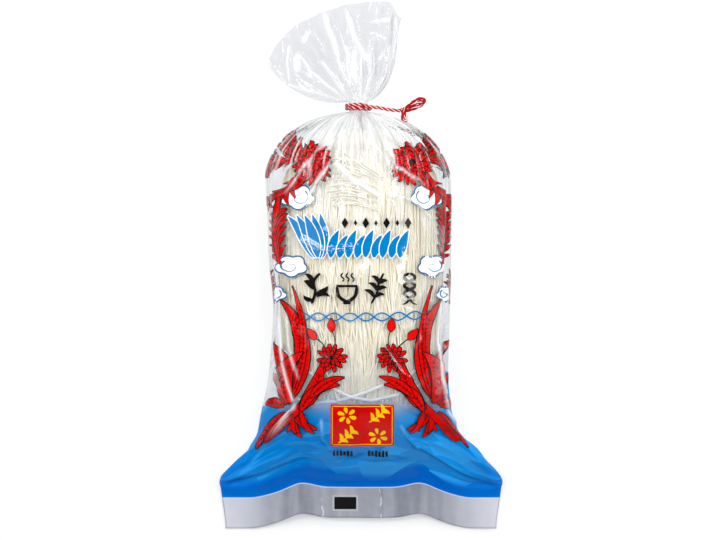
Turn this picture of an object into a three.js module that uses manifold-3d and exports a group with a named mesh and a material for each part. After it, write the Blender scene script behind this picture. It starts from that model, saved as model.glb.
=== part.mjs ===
// A bag of glass noodles: a clear printed pillow bag, gathered and tied at the neck with a twisted cord.
// Millimetres. The bag lies on its back with its printed front up: X runs across it, Y from the flat
// seal to the open mouth, and Z up from the surface that it lies on. The bag is one closed solid, film
// and contents together, and the cord is another.
import * as THREE from "three";
import { mergeVertices } from "three/addons/utils/BufferGeometryUtils.js";
import Module from "manifold-3d";

// ---- Driving dimensions of the bag
const FLAT_WIDTH = 145; // the tube of film pressed flat, as it is at the seal
const BODY_WIDTH = 93; // across the filled bag
const BODY_FRONT = 32; // from the widest line of the filled bag up to its front
const BODY_BACK = 27.5; // and down to its back, before the surface flattens it
const SEAL_HEIGHT = 15;
const SEAL_HALF_THICKNESS = 0.4;
const SHOULDER_START = 177; // along the bag, where its sides begin to round in
const NECK_START = 213.7;
const NECK_END = 218.8;
const NECK_RADIUS = 4.7;
const NECK_HEIGHT = 27; // of the neck's middle above the surface
const NECK_OFFSET = -1.3; // the neck sits a little left of the middle
const MOUTH_RADIUS = 50.4; // from the neck to the open mouth
const MOUTH_HALF_THICKNESS = 0.45;

// ---- Profiles along the bag, as [distance from the seal's edge, value]. The shoulder follows an
// ellipse.
const LEFT_SIDE = through([
  [0, FLAT_WIDTH / 2 - 2.5],
  [23.5, FLAT_WIDTH / 2],
  [43, 54.7],
  [60, 51.2],
  [80, 47.2],
  [115, 45.2],
  [145, 47.6],
  [SHOULDER_START, BODY_WIDTH / 2 + 1.2],
]);
const RIGHT_SIDE = through([
  [0, FLAT_WIDTH / 2 - 2.5],
  [23.5, FLAT_WIDTH / 2],
  [51, 49],
  [66, 45.6],
  [85, 44],
  [118, 44.4],
  [SHOULDER_START, BODY_WIDTH / 2 - 1.2],
]);
const MIDDLE_HEIGHT = through([
  [0, 1.2],
  [SEAL_HEIGHT, 1.4],
  [24, 3.5],
  [45, 13],
  [70, 21],
  [100, 24],
  [SHOULDER_START, 25],
  [NECK_START, NECK_HEIGHT],
]);
const FRONT_RISE = through([
  [0, SEAL_HALF_THICKNESS],
  [SEAL_HEIGHT, SEAL_HALF_THICKNESS],
  [24, 4],
  [43, 16.5],
  [60, 26],
  [85, 31],
  [SHOULDER_START, BODY_FRONT],
]);
const BACK_DROP = through([
  [0, SEAL_HALF_THICKNESS],
  [SEAL_HEIGHT, SEAL_HALF_THICKNESS],
  [24, 3],
  [45, 14],
  [62, 22],
  [85, 26],
  [SHOULDER_START, BODY_BACK],
]);
// How square a section is: 2 is an ellipse, less is pointed at the sides, more is flat with square sides.
const SQUARENESS = through([
  [0, 9],
  [SEAL_HEIGHT, 9],
  [25, 1.9],
  [60, 1.9],
  [105, 2.25],
  [SHOULDER_START, 2.2],
  [NECK_START, 2],
]);

// ---- Folds of the film
const SHOULDER_PLEATS = 26; // round the bag, all running to the neck
const SHOULDER_PLEAT_DEPTH = 2.3;
const SIDE_FOLD_DEPTH = 1.6; // the slack film that folds along each side
const FAN_LEFT = THREE.MathUtils.degToRad(157); // the gathered mouth opens like a fan from here
const FAN_RIGHT = THREE.MathUtils.degToRad(63); // to here
const FAN_SPREAD_LEFT = THREE.MathUtils.degToRad(31); // how much wider it opens close to the neck
const FAN_SPREAD_RIGHT = THREE.MathUtils.degToRad(45);
const FAN_FOLDS = 6;
const FAN_PLEATS = 13;
// Creases of the skirt below the noodles: from [x, y] to [x, y], with a height that is negative in a valley.
const SKIRT_CREASES = [
  { from: [-71, 24], to: [-43, 56], height: 2.0, width: 2.4 },
  { from: [71, 24], to: [40, 57], height: 2.0, width: 2.4 },
  { from: [-68, 25], to: [-24, 31], height: -1.1, width: 2.2 },
  { from: [-70, 26], to: [-32, 37], height: 1.0, width: 2.0 },
  { from: [-20, 44], to: [-8, 31], height: -1.0, width: 2.0 },
  { from: [-8, 31], to: [3, 35], height: -1.0, width: 2.0 },
  { from: [70, 24], to: [29, 40], height: 1.1, width: 2.2 },
  { from: [70, 23], to: [42, 28], height: -1.1, width: 2.2 },
  { from: [29, 40], to: [22, 50], height: 0.9, width: 1.8 },
];

// ---- The mesh of the bag
const RING_POINTS = 112;
const BODY_STATIONS = [
  0, 7.5, 15, 18.5, 22, 26, 30, 34.5, 39, 43.5, 48.5, 54, 60, 67, 75, 84, 94, 105, 117, 129, 141,
  153, 164, 172, 179, 184.3, 188.6, 192.5, 196, 199.2, 202, 204.6, 206.9, 208.9, 210.6, 212, 213,
  NECK_START, NECK_END,
];
const FAN_STATIONS = [0.05, 0.12, 0.2, 0.29, 0.39, 0.5, 0.62, 0.75, 0.88, 1];
const CURVE_SAMPLES = 240;

// ---- Driving dimensions of the cord
const CORD_RADIUS = 0.95;
const CORD_GAP = 0.35; // between the neck and the cord's turns
const CORD_TURNS = [215.2, 216.8]; // along the bag
const KNOT_RADIUS = 1.5; // where the tail parts into its two loops

// ---- Small functions
function clamp(x, low, high) {
  return Math.min(high, Math.max(low, x));
}

function smooth(low, high, x) {
  const t = clamp((x - low) / (high - low), 0, 1);
  return t * t * (3 - 2 * t);
}

function bell(x, width) {
  return Math.exp(-((x / width) ** 2));
}

function mix(a, b, t) {
  return a + (b - a) * t;
}

// A smooth curve through points, which never overshoots them.
function through(points) {
  const xs = points.map((p) => p[0]);
  const ys = points.map((p) => p[1]);
  const rise = xs.slice(1).map((x, i) => (ys[i + 1] - ys[i]) / (x - xs[i]));
  const slope = ys.map((_, i) => {
    if (i === 0 || i === ys.length - 1) return 0;
    const [a, b] = [rise[i - 1], rise[i]];
    return a * b <= 0 ? 0 : (2 * a * b) / (a + b);
  });
  return (x) => {
    if (x <= xs[0]) return ys[0];
    if (x >= xs.at(-1)) return ys.at(-1);
    const i = xs.findLastIndex((start) => start <= x);
    const h = xs[i + 1] - xs[i];
    const t = (x - xs[i]) / h;
    const [t2, t3] = [t * t, t * t * t];
    return (
      (2 * t3 - 3 * t2 + 1) * ys[i] +
      (t3 - 2 * t2 + t) * h * slope[i] +
      (3 * t2 - 2 * t3) * ys[i + 1] +
      (t3 - t2) * h * slope[i + 1]
    );
  };
}

// ---- The bag's plain form
// How far the seal is drawn up towards the bag at x, in two humps, because the film beside them bulges.
function sealArch(x) {
  const drawn = 5.8 * (1 - smooth(30, 58, Math.abs(x)));
  return drawn + 2.3 * (bell(x + 30, 8) + bell(x - 30, 8));
}

// The shrinking of the shoulder: 1 at its start, 0 at the neck.
function dome(along) {
  const t = clamp((along - SHOULDER_START) / (NECK_START - SHOULDER_START), 0, 1);
  return Math.sqrt(1 - t * t);
}

// Points spaced evenly along half a section, from its left edge to its right edge, as [x, height].
function halfSection(left, right, rise, squareness, count) {
  const curve = [];
  const lengths = [0];
  for (let k = 0; k <= CURVE_SAMPLES; k++) {
    const angle = Math.PI * (1 - k / CURVE_SAMPLES);
    const c = k === CURVE_SAMPLES / 2 ? 0 : Math.cos(angle);
    const across = Math.sign(c) * Math.abs(c) ** (2 / squareness);
    const up = k === 0 || k === CURVE_SAMPLES ? 0 : Math.sin(angle) ** (2 / squareness);
    curve.push([across * (c < 0 ? left : right), up * rise]);
    if (k === 0) continue;
    const step = Math.hypot(curve[k][0] - curve[k - 1][0], curve[k][1] - curve[k - 1][1]);
    lengths.push(lengths[k - 1] + step);
  }
  const points = [];
  for (let i = 0, k = 0; i <= count; i++) {
    const wanted = (lengths.at(-1) * i) / count;
    while (k < CURVE_SAMPLES - 1 && lengths[k + 1] < wanted) k++;
    const t = clamp((wanted - lengths[k]) / (lengths[k + 1] - lengths[k]), 0, 1);
    points.push([mix(curve[k][0], curve[k + 1][0], t), mix(curve[k][1], curve[k + 1][1], t)]);
  }
  return points;
}

// One ring of the filled bag and its skirt: over the front from left to right, and back underneath.
function bodyRing(along) {
  const shrink = dome(along);
  const left = Math.hypot(LEFT_SIDE(along) * shrink, NECK_RADIUS * (1 - shrink));
  const right = Math.hypot(RIGHT_SIDE(along) * shrink, NECK_RADIUS * (1 - shrink));
  const front = Math.hypot(FRONT_RISE(along) * shrink, NECK_RADIUS * (1 - shrink));
  const back = Math.hypot(BACK_DROP(along) * shrink, NECK_RADIUS * (1 - shrink));
  const squareness = SQUARENESS(along);
  const half = RING_POINTS / 2;
  const over = halfSection(left, right, front, squareness, half);
  const under = halfSection(left, right, back, squareness, half);
  const shift = NECK_OFFSET * smooth(SHOULDER_START - 20, NECK_START, along);
  const flat = 1 - smooth(20, 62, along);
  const ring = [];
  for (let i = 0; i < RING_POINTS; i++) {
    const onFront = i < half;
    const [x, height] = onFront ? over[i] : under[RING_POINTS - i];
    const arch = sealArch(x) * flat;
    const z = MIDDLE_HEIGHT(along) + 0.7 * arch + (onFront ? height : -height);
    ring.push(new THREE.Vector3(x + shift, along + arch, z));
  }
  return ring;
}

// One ring of the fan above the neck. share is 0 at the neck and 1 at the open mouth.
function fanRing(share) {
  const ring = [];
  const leftAngle = FAN_LEFT + FAN_SPREAD_LEFT * (1 - share);
  const rightAngle = FAN_RIGHT - FAN_SPREAD_RIGHT * (1 - share) ** 1.7;
  for (let i = 0; i < RING_POINTS; i++) {
    const onFront = i < RING_POINTS / 2;
    const turn = onFront ? i / RING_POINTS : 1 - i / RING_POINTS;
    const across = mix(-Math.cos(2 * Math.PI * turn), 4 * turn - 1, smooth(0, 0.35, share));
    const s = (across + 1) / 2;
    const angle = mix(leftAngle, rightAngle, s);
    const edge = 2.2 * bell(s - 0.88, 0.07) - 2.6 * smooth(0.9, 1, s) + 0.8 * Math.sin(9.5 * s);
    const radius = share * (MOUTH_RADIUS + edge);
    const x = NECK_OFFSET + NECK_RADIUS * across * (1 - share) + radius * Math.cos(angle);
    const y = NECK_END + radius * Math.sin(angle);
    const open = NECK_RADIUS * (1 - share) ** 1.5 + 1.8 * Math.sin(Math.PI * share);
    const round = open * Math.sqrt(Math.max(0, 1 - across * across));
    const thickness = round + MOUTH_HALF_THICKNESS * smooth(0, 0.3, share);
    const gap = i === 0 || i === RING_POINTS / 2 ? 0 : thickness;
    const sunk = 5 * share + 4 * share * share * (1 - s);
    const z = NECK_HEIGHT - sunk + fanFold(s, share) + (onFront ? gap : -gap);
    ring.push(new THREE.Vector3(x, y, z));
  }
  return ring;
}

// The wide folds and the fine pleats of the fan: few on its left, where the film lies open, and more
// on its right.
function fanFold(s, share) {
  const wide = Math.sin(2 * Math.PI * FAN_FOLDS * s ** 1.4 + 0.6) * (3.4 - 1.2 * s) * share ** 0.9;
  const pleat = Math.sin(2 * Math.PI * FAN_PLEATS * s ** 1.15 + 1.9);
  const fine = pleat * 1.1 * Math.sin(Math.PI * share) * (0.5 + 0.5 * s);
  return wide * (1 - 0.3 * share) + fine;
}

// ---- The folds pressed into the plain form, as a height along its outward normal
function shoulderPleat(turn, along) {
  const reach = smooth(165, 201, along) * (1 - smooth(206, NECK_START - 0.8, along));
  const wander = turn + 0.006 * Math.sin(2 * Math.PI * 5 * turn + 1);
  return SHOULDER_PLEAT_DEPTH * reach * (Math.abs(Math.sin(Math.PI * SHOULDER_PLEATS * wander)) - 0.75);
}

function sideFold(turn, along) {
  const reach = smooth(66, 90, along) * (1 - smooth(165, 190, along));
  const fromEdge = Math.min(turn % 0.5, 0.5 - (turn % 0.5)) * 240;
  return -SIDE_FOLD_DEPTH * reach * bell(fromEdge - 9, 3.2);
}

function skirtCreases(x, along) {
  let height = 0;
  for (const crease of SKIRT_CREASES) {
    const [ax, ay] = crease.from;
    const [dx, dy] = [crease.to[0] - ax, crease.to[1] - ay];
    const t = clamp(((x - ax) * dx + (along - ay) * dy) / (dx * dx + dy * dy), 0, 1);
    const distance = Math.hypot(x - ax - t * dx, along - ay - t * dy);
    const ends = smooth(0, 0.2, t + 0.1) * (1 - smooth(0.8, 1.1, t));
    height += crease.height * bell(distance, crease.width) * ends;
  }
  return height * smooth(SEAL_HEIGHT + 1, SEAL_HEIGHT + 9, along);
}

// The noodles' bundles show through the film as low swellings.
function bundles(turn, along) {
  const reach = smooth(62, 95, along) * (1 - smooth(165, 195, along));
  return 0.7 * reach * Math.sin(2 * Math.PI * 7 * turn + 0.02 * along + 2.2);
}

function relief(turn, along, x) {
  const front = turn <= 0.5 ? skirtCreases(x, along) : 0.5 * skirtCreases(-x, along);
  return shoulderPleat(turn, along) + sideFold(turn, along) + bundles(turn, along) + front;
}

// ---- The bag as rings of points
function bagRings() {
  const plain = BODY_STATIONS.map(bodyRing);
  const normal = new THREE.Vector3();
  const rings = plain.map((ring, j) =>
    ring.map((point, i) => {
      const along = BODY_STATIONS[j];
      if (j === 0 || along >= NECK_START) return point.clone();
      const next = ring[(i + 1) % RING_POINTS];
      const last = ring[(i + RING_POINTS - 1) % RING_POINTS];
      const ahead = plain[j + 1][i].clone().sub(plain[j - 1][i]);
      normal.crossVectors(next.clone().sub(last), ahead).normalize();
      const moved = point.clone().addScaledVector(normal, relief(i / RING_POINTS, along, point.x));
      moved.z = Math.max(0, moved.z); // the back lies flat on the surface
      return moved;
    }),
  );
  return [...rings, ...FAN_STATIONS.map(fanRing)];
}

// A closed surface through the rings. The first and the last ring are closed by strips between the
// front and the back.
function closedSurface(rings) {
  const n = RING_POINTS;
  const triangles = [];
  const quad = (a, b, c, d) => triangles.push(a, b, c, a, c, d);
  for (let j = 0; j + 1 < rings.length; j++)
    for (let i = 0; i < n; i++) {
      const k = (i + 1) % n;
      quad(j * n + i, j * n + k, (j + 1) * n + k, (j + 1) * n + i);
    }
  const endStrip = (start, turned) => {
    for (let i = 0; i < n / 2; i++) {
      const [a, b, c, d] = [start + i, start + i + 1, start + ((n - i - 1) % n), start + ((n - i) % n)];
      const face = i === 0 ? [a, b, c] : i === n / 2 - 1 ? [a, b, d] : null;
      if (face) triangles.push(...(turned ? face.toReversed() : face));
      else if (turned) quad(d, c, b, a);
      else quad(a, b, c, d);
    }
  };
  endStrip(0, true);
  endStrip((rings.length - 1) * n, false);
  const geometry = new THREE.BufferGeometry();
  const places = rings.flat().flatMap((point) => [point.x, point.y, point.z]);
  geometry.setAttribute("position", new THREE.Float32BufferAttribute(places, 3));
  geometry.setIndex(triangles);
  geometry.computeVertexNormals();
  return geometry;
}

// ---- The cord, in the frame of the bag
function tube(points, radius, steps) {
  const section = new THREE.Shape();
  section.absarc(0, 0, radius, 0, 2 * Math.PI);
  const places = points.map((point) => new THREE.Vector3(...point));
  const path = new THREE.CatmullRomCurve3(places, false, "centripetal");
  const settings = { steps, curveSegments: 4, bevelEnabled: false, extrudePath: path };
  return new THREE.ExtrudeGeometry(section, settings);
}

// A ring of the cord round the neck.
function turnRound(along) {
  const radius = NECK_RADIUS + CORD_GAP + CORD_RADIUS;
  const ring = new THREE.TorusGeometry(radius, CORD_RADIUS, 8, 32);
  return ring.rotateX(Math.PI / 2).translate(NECK_OFFSET, along, NECK_HEIGHT);
}

// A flat teardrop loop that leaves its root, goes round its tip and comes back to the root.
function teardrop(root, tip, width) {
  const a = new THREE.Vector3(...root);
  const along = new THREE.Vector3(...tip).sub(a);
  const side = new THREE.Vector3(-along.y, along.x, 0).normalize();
  const points = [];
  for (let i = 0; i <= 12; i++) {
    const angle = (2 * Math.PI * i) / 12;
    const reach = (1 - Math.cos(angle)) / 2;
    const bulge = (width / 2) * Math.sin(angle) * (0.35 + 0.65 * reach);
    const p = a.clone().addScaledVector(along, reach).addScaledVector(side, bulge);
    points.push(p.toArray());
  }
  return points;
}

const TAIL_ROOT = [NECK_OFFSET + 5, 216, NECK_HEIGHT + 3.6];
const TAIL_END = [21.4, 213.8, NECK_HEIGHT + 4];
const TAIL = [TAIL_ROOT, [9, 215.6, NECK_HEIGHT + 4], [15, 214.4, NECK_HEIGHT + 4.2], TAIL_END];
const LOOP_TIP = [32, 219.6, NECK_HEIGHT + 4.5];
const END_TIP = [22.4, 208.6, NECK_HEIGHT + 6.5];

function cordPieces() {
  return [
    ...CORD_TURNS.map(turnRound),
    new THREE.SphereGeometry(KNOT_RADIUS, 12, 8).translate(...TAIL_END),
    tube(TAIL, CORD_RADIUS, 14),
    tube(teardrop(TAIL_END, LOOP_TIP, 5), 0.85, 28),
    tube(teardrop(TAIL_END, END_TIP, 3.6), 0.7, 20),
  ];
}

// ---- Joining solids
const wasm = await Module();
wasm.setup();

function solidOf(geometry) {
  const plain = new THREE.BufferGeometry();
  plain.setAttribute("position", geometry.getAttribute("position"));
  if (geometry.index) plain.setIndex(geometry.index);
  const merged = mergeVertices(plain, 1e-4);
  return new wasm.Manifold(
    new wasm.Mesh({
      numProp: 3,
      vertProperties: new Float32Array(merged.attributes.position.array),
      triVerts: new Uint32Array(merged.index.array),
    }),
  );
}

function geometryOf(solid) {
  const mesh = solid.getMesh();
  const geometry = new THREE.BufferGeometry();
  geometry.setAttribute("position", new THREE.Float32BufferAttribute(mesh.vertProperties, 3));
  geometry.setIndex(new THREE.Uint32BufferAttribute(mesh.triVerts, 1));
  geometry.computeVertexNormals();
  return geometry;
}

function joined(pieces) {
  return geometryOf(pieces.map(solidOf).reduce((all, piece) => all.add(piece)));
}

// ---- The two pieces, moved so that the origin is under the middle of the whole
const film = new THREE.MeshStandardMaterial({ color: 0xe6e0d0, roughness: 0.25, metalness: 0 });
const red = new THREE.MeshStandardMaterial({ color: 0xbf2a32, roughness: 0.7, metalness: 0 });

const bag = new THREE.Mesh(closedSurface(bagRings()), film);
bag.name = "bag";
const tie = new THREE.Mesh(joined(cordPieces()), red);
tie.name = "tie";

const part = new THREE.Group();
part.add(bag, tie);
const size = new THREE.Box3().setFromObject(part);
part.position.set(-(size.min.x + size.max.x) / 2, -(size.min.y + size.max.y) / 2, -size.min.z);

export default part;
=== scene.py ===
"""A bag of glass noodles: clear printed film, the hank of noodles inside it and the cord round its neck.

Lengths in the forms below are in millimetres, in the bag's own frame: X across the bag, Y along it from the
edge of its flat seal, and Z up from the surface that it lies on. They turn into metres in the last step."""

import math

import bpy
import numpy as np
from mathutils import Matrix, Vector


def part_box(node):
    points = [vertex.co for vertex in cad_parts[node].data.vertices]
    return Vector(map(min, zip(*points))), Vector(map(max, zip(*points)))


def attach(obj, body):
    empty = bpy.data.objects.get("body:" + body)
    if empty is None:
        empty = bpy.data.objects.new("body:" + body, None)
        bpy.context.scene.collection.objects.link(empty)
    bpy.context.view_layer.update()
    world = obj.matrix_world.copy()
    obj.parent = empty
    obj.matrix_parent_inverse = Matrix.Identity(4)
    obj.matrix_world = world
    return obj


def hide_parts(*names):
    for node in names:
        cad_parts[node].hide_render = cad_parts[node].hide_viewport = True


bl_info = {
    "name": "Bag of Glass Noodles",
    "version": (1, 0, 0),
    "blender": (4, 5, 0),
    "location": "View3D > Sidebar > Noodles",
    "description": "Dresses the packed bag in film, print, noodles and cord",
    "category": "Object",
}

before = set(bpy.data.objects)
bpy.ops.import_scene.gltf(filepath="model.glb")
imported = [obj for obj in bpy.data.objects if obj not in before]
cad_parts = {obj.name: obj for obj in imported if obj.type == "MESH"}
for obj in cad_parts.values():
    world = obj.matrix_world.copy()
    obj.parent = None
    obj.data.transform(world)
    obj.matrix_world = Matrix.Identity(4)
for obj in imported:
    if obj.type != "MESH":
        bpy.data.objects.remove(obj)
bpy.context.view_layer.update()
BODY = "root"
MM = 0.001  # in metres

# ---- The bag's form, from the same named values as its solid
FLAT_WIDTH = 145.0
BODY_WIDTH = 93.0
BODY_FRONT = 32.0
BODY_BACK = 27.5
FILM_GIRTH = 250.0  # round the filled bag
SEAL_HEIGHT = 15.0
SEAL_HALF_THICKNESS = 0.2
SHOULDER_START = 177.0
NECK_START = 213.7
NECK_END = 218.8
NECK_RADIUS = 4.7
NECK_HEIGHT = 27.0
NECK_OFFSET = -1.3
MOUTH_RADIUS = 50.4
FAN_LEFT = math.radians(157)
FAN_RIGHT = math.radians(63)
FAN_SPREAD_LEFT = math.radians(31)
FAN_SPREAD_RIGHT = math.radians(45)
FAN_FOLDS = 6
FAN_PLEATS = 13
SHOULDER_PLEATS = 26
SHOULDER_PLEAT_DEPTH = 2.3
SIDE_FOLD_DEPTH = 1.6
FOLD_GIRTH = 240.0  # round the bag where its side folds are placed

# ---- The studio, which looks straight down on the bag
VIEW_DISTANCE = 1236.0
VIEW_LENS = 120.0
PICTURE_WIDTH = 716
PICTURE_HEIGHT = 540
PICTURE_STEP = 0.518  # one step of the picture, on the surface that the bag lies on
VIEW_CENTRE = (-1.554, 133.6)


# =====================================================================================================
# Small functions
# =====================================================================================================
def smooth(low, high, x):
    t = np.clip((x - low) / (high - low), 0, 1)
    return t * t * (3 - 2 * t)


def bell(x, width):
    return np.exp(-((x / width) ** 2))


def mix(a, b, t):
    return a + (b - a) * t


def zigzag(x):
    """A wave of straight slopes between 0 and 1, as pressed folds make."""
    return 2 * np.abs(x - np.floor(x + 0.5))


def through(points):
    """A smooth curve through points, which never overshoots them."""
    xs = np.array([p[0] for p in points], float)
    ys = np.array([p[1] for p in points], float)
    rise = np.diff(ys) / np.diff(xs)
    slope = np.zeros_like(ys)
    for i in range(1, len(ys) - 1):
        a, b = rise[i - 1], rise[i]
        slope[i] = 0 if a * b <= 0 else 2 * a * b / (a + b)

    def curve(x):
        x = np.clip(np.asarray(x, float), xs[0], xs[-1])
        i = np.clip(np.searchsorted(xs, x, side="right") - 1, 0, len(xs) - 2)
        h = xs[i + 1] - xs[i]
        t = (x - xs[i]) / h
        t2, t3 = t * t, t**3
        return (
            (2 * t3 - 3 * t2 + 1) * ys[i]
            + (t3 - 2 * t2 + t) * h * slope[i]
            + (3 * t2 - 2 * t3) * ys[i + 1]
            + (t3 - t2) * h * slope[i + 1]
        )

    return curve


# ---- Profiles along the bag, as (distance from the seal's edge, value)
SEAL_SIDE = [(0, FLAT_WIDTH / 2 - 2.5), (23.5, FLAT_WIDTH / 2)]
SEAL_RISE = [(0, SEAL_HALF_THICKNESS), (SEAL_HEIGHT, SEAL_HALF_THICKNESS)]
LEAN = 1.2  # how far to the left the filled bag sits
LEFT_SIDE = through(
    SEAL_SIDE
    + [(43, 54.7), (60, 51.2), (80, 47.2), (115, 45.2), (145, 47.6)]
    + [(SHOULDER_START, BODY_WIDTH / 2 + LEAN)]
)
RIGHT_SIDE = through(
    SEAL_SIDE + [(51, 49), (66, 45.6), (85, 44), (118, 44.4), (SHOULDER_START, BODY_WIDTH / 2 - LEAN)]
)
MIDDLE_HEIGHT = through(
    [(0, 1.2), (SEAL_HEIGHT, 1.4), (24, 3.5), (45, 13), (70, 21), (100, 24)]
    + [(SHOULDER_START, 25), (NECK_START, NECK_HEIGHT)]
)
FRONT_RISE = through(SEAL_RISE + [(24, 4), (43, 16.5), (60, 26), (85, 31), (SHOULDER_START, BODY_FRONT)])
BACK_DROP = through(SEAL_RISE + [(24, 3), (45, 14), (62, 22), (85, 26), (SHOULDER_START, BODY_BACK)])
# How square a section is: 2 is an ellipse, less is pointed at the sides, more is flat with square sides.
SQUARENESS = through(
    [(0, 9), (SEAL_HEIGHT, 9), (25, 1.9), (60, 1.9), (105, 2.25), (SHOULDER_START, 2.2), (NECK_START, 2)]
)
SECTION_SAMPLES = 240


def half_section(left, right, rise, squareness, count):
    """Points spaced evenly along half a section, from its left edge to its right edge, as x and height."""
    angle = np.pi * (1 - np.arange(SECTION_SAMPLES + 1) / SECTION_SAMPLES)
    c = np.cos(angle)
    c[SECTION_SAMPLES // 2] = 0
    s = np.sin(angle)
    s[0] = s[-1] = 0
    across = np.sign(c) * np.abs(c) ** (2 / squareness)
    x = across * np.where(c < 0, left, right)
    y = np.abs(s) ** (2 / squareness) * rise
    length = np.concatenate([[0], np.cumsum(np.hypot(np.diff(x), np.diff(y)))])
    wanted = np.linspace(0, length[-1], count + 1)
    return np.interp(wanted, length, x), np.interp(wanted, length, y), length[-1]


def seal_arch(x):
    """How far the seal is drawn up towards the bag at x, in two humps."""
    drawn = 5.8 * (1 - smooth(30, 58, np.abs(x)))
    return drawn + 2.3 * (bell(x + 30, 8) + bell(x - 30, 8))


def dome(along):
    """The share of its full size that the bag has at a place on its rounded shoulder."""
    t = np.clip((along - SHOULDER_START) / (NECK_START - SHOULDER_START), 0, 1)
    return np.sqrt(1 - t * t)


def plain_ring(along, columns):
    """One ring of the filled bag and its skirt, over the front from left to right and back underneath."""
    shrink = dome(along)
    left, right, front, back = (
        math.hypot(side(along) * shrink, NECK_RADIUS * (1 - shrink))
        for side in (LEFT_SIDE, RIGHT_SIDE, FRONT_RISE, BACK_DROP)
    )
    half = columns // 2
    over_x, over_z, length = half_section(left, right, front, float(SQUARENESS(along)), half)
    under_x, under_z, _ = half_section(left, right, back, float(SQUARENESS(along)), half)
    x = np.concatenate([over_x[:half], under_x[::-1][:half]])
    height = np.concatenate([over_z[:half], -under_z[::-1][:half]])
    arch = seal_arch(x) * (1 - smooth(20, 62, along))
    shift = NECK_OFFSET * smooth(SHOULDER_START - 20, NECK_START, along)
    z = float(MIDDLE_HEIGHT(along)) + 0.7 * arch + height
    return np.stack([x + shift, along + arch, z], 1), length


def fan_fold(s, share):
    """The wide folds and the fine pleats of the gathered mouth, s of the way across it."""
    wide = np.sin(2 * np.pi * FAN_FOLDS * s**1.4 + 0.6) * (3.4 - 1.2 * s) * share**0.9
    pleat = np.sin(2 * np.pi * FAN_PLEATS * s**1.15 + 1.9)
    fine = pleat * 1.1 * np.sin(np.pi * share) * (0.5 + 0.5 * s)
    return wide * (1 - 0.3 * share) + fine * (1 - 0.85 * smooth(0.2, 0.6, share))


def fan_ring(share, columns):
    """One ring of the gathered mouth above the neck. share is 0 at the neck and 1 at the open edge."""
    i = np.arange(columns)
    turn = np.where(i < columns // 2, i / columns, 1 - i / columns)
    on_front = np.where(i < columns // 2, 1.0, -1.0)
    left_angle = FAN_LEFT + FAN_SPREAD_LEFT * (1 - share)
    right_angle = FAN_RIGHT - FAN_SPREAD_RIGHT * (1 - share) ** 1.7
    across = mix(-np.cos(2 * np.pi * turn), 4 * turn - 1, smooth(0, 0.35, share))
    s = (across + 1) / 2
    angle = mix(left_angle, right_angle, s)
    edge = 2.2 * bell(s - 0.88, 0.07) - 2.6 * smooth(0.9, 1, s) + 0.8 * np.sin(9.5 * s)
    radius = share * (MOUTH_RADIUS + edge)
    x = NECK_OFFSET + NECK_RADIUS * across * (1 - share) + radius * np.cos(angle)
    y = NECK_END + radius * np.sin(angle)
    gap = NECK_RADIUS * (1 - share) ** 1.5 + 1.8 * math.sin(math.pi * share)
    thickness = gap * np.sqrt(np.clip(1 - across**2, 0, 1)) + 0.45 * smooth(0, 0.3, share)
    thickness = thickness * np.minimum(1, 12 * np.minimum(turn, 0.5 - turn) + 1 - smooth(0, 0.3, share))
    sunk = 5 * share + 4 * share**2 * (1 - s)
    z = NECK_HEIGHT - sunk + fan_fold(s, share) + on_front * thickness
    return np.stack([x, y, z], 1), s


# =====================================================================================================
# The folds of the film
# =====================================================================================================
# Creases seen on the front, as the points that each passes through, its height and its width.
CREASES = [
    ([(-71, 24), (-43, 56)], 2.0, 2.4),
    ([(71, 24), (40, 57)], 2.0, 2.4),
    ([(-68, 25), (-24, 31)], -1.1, 2.2),
    ([(-70, 26), (-32, 37)], 1.0, 2.0),
    ([(-20, 44), (-8, 31)], -1.0, 2.0),
    ([(-8, 31), (3, 35)], -1.0, 2.0),
    ([(70, 24), (29, 40)], 1.1, 2.2),
    ([(70, 23), (42, 28)], -1.1, 2.2),
    ([(29, 40), (22, 50)], 0.9, 1.8),
]
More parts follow.
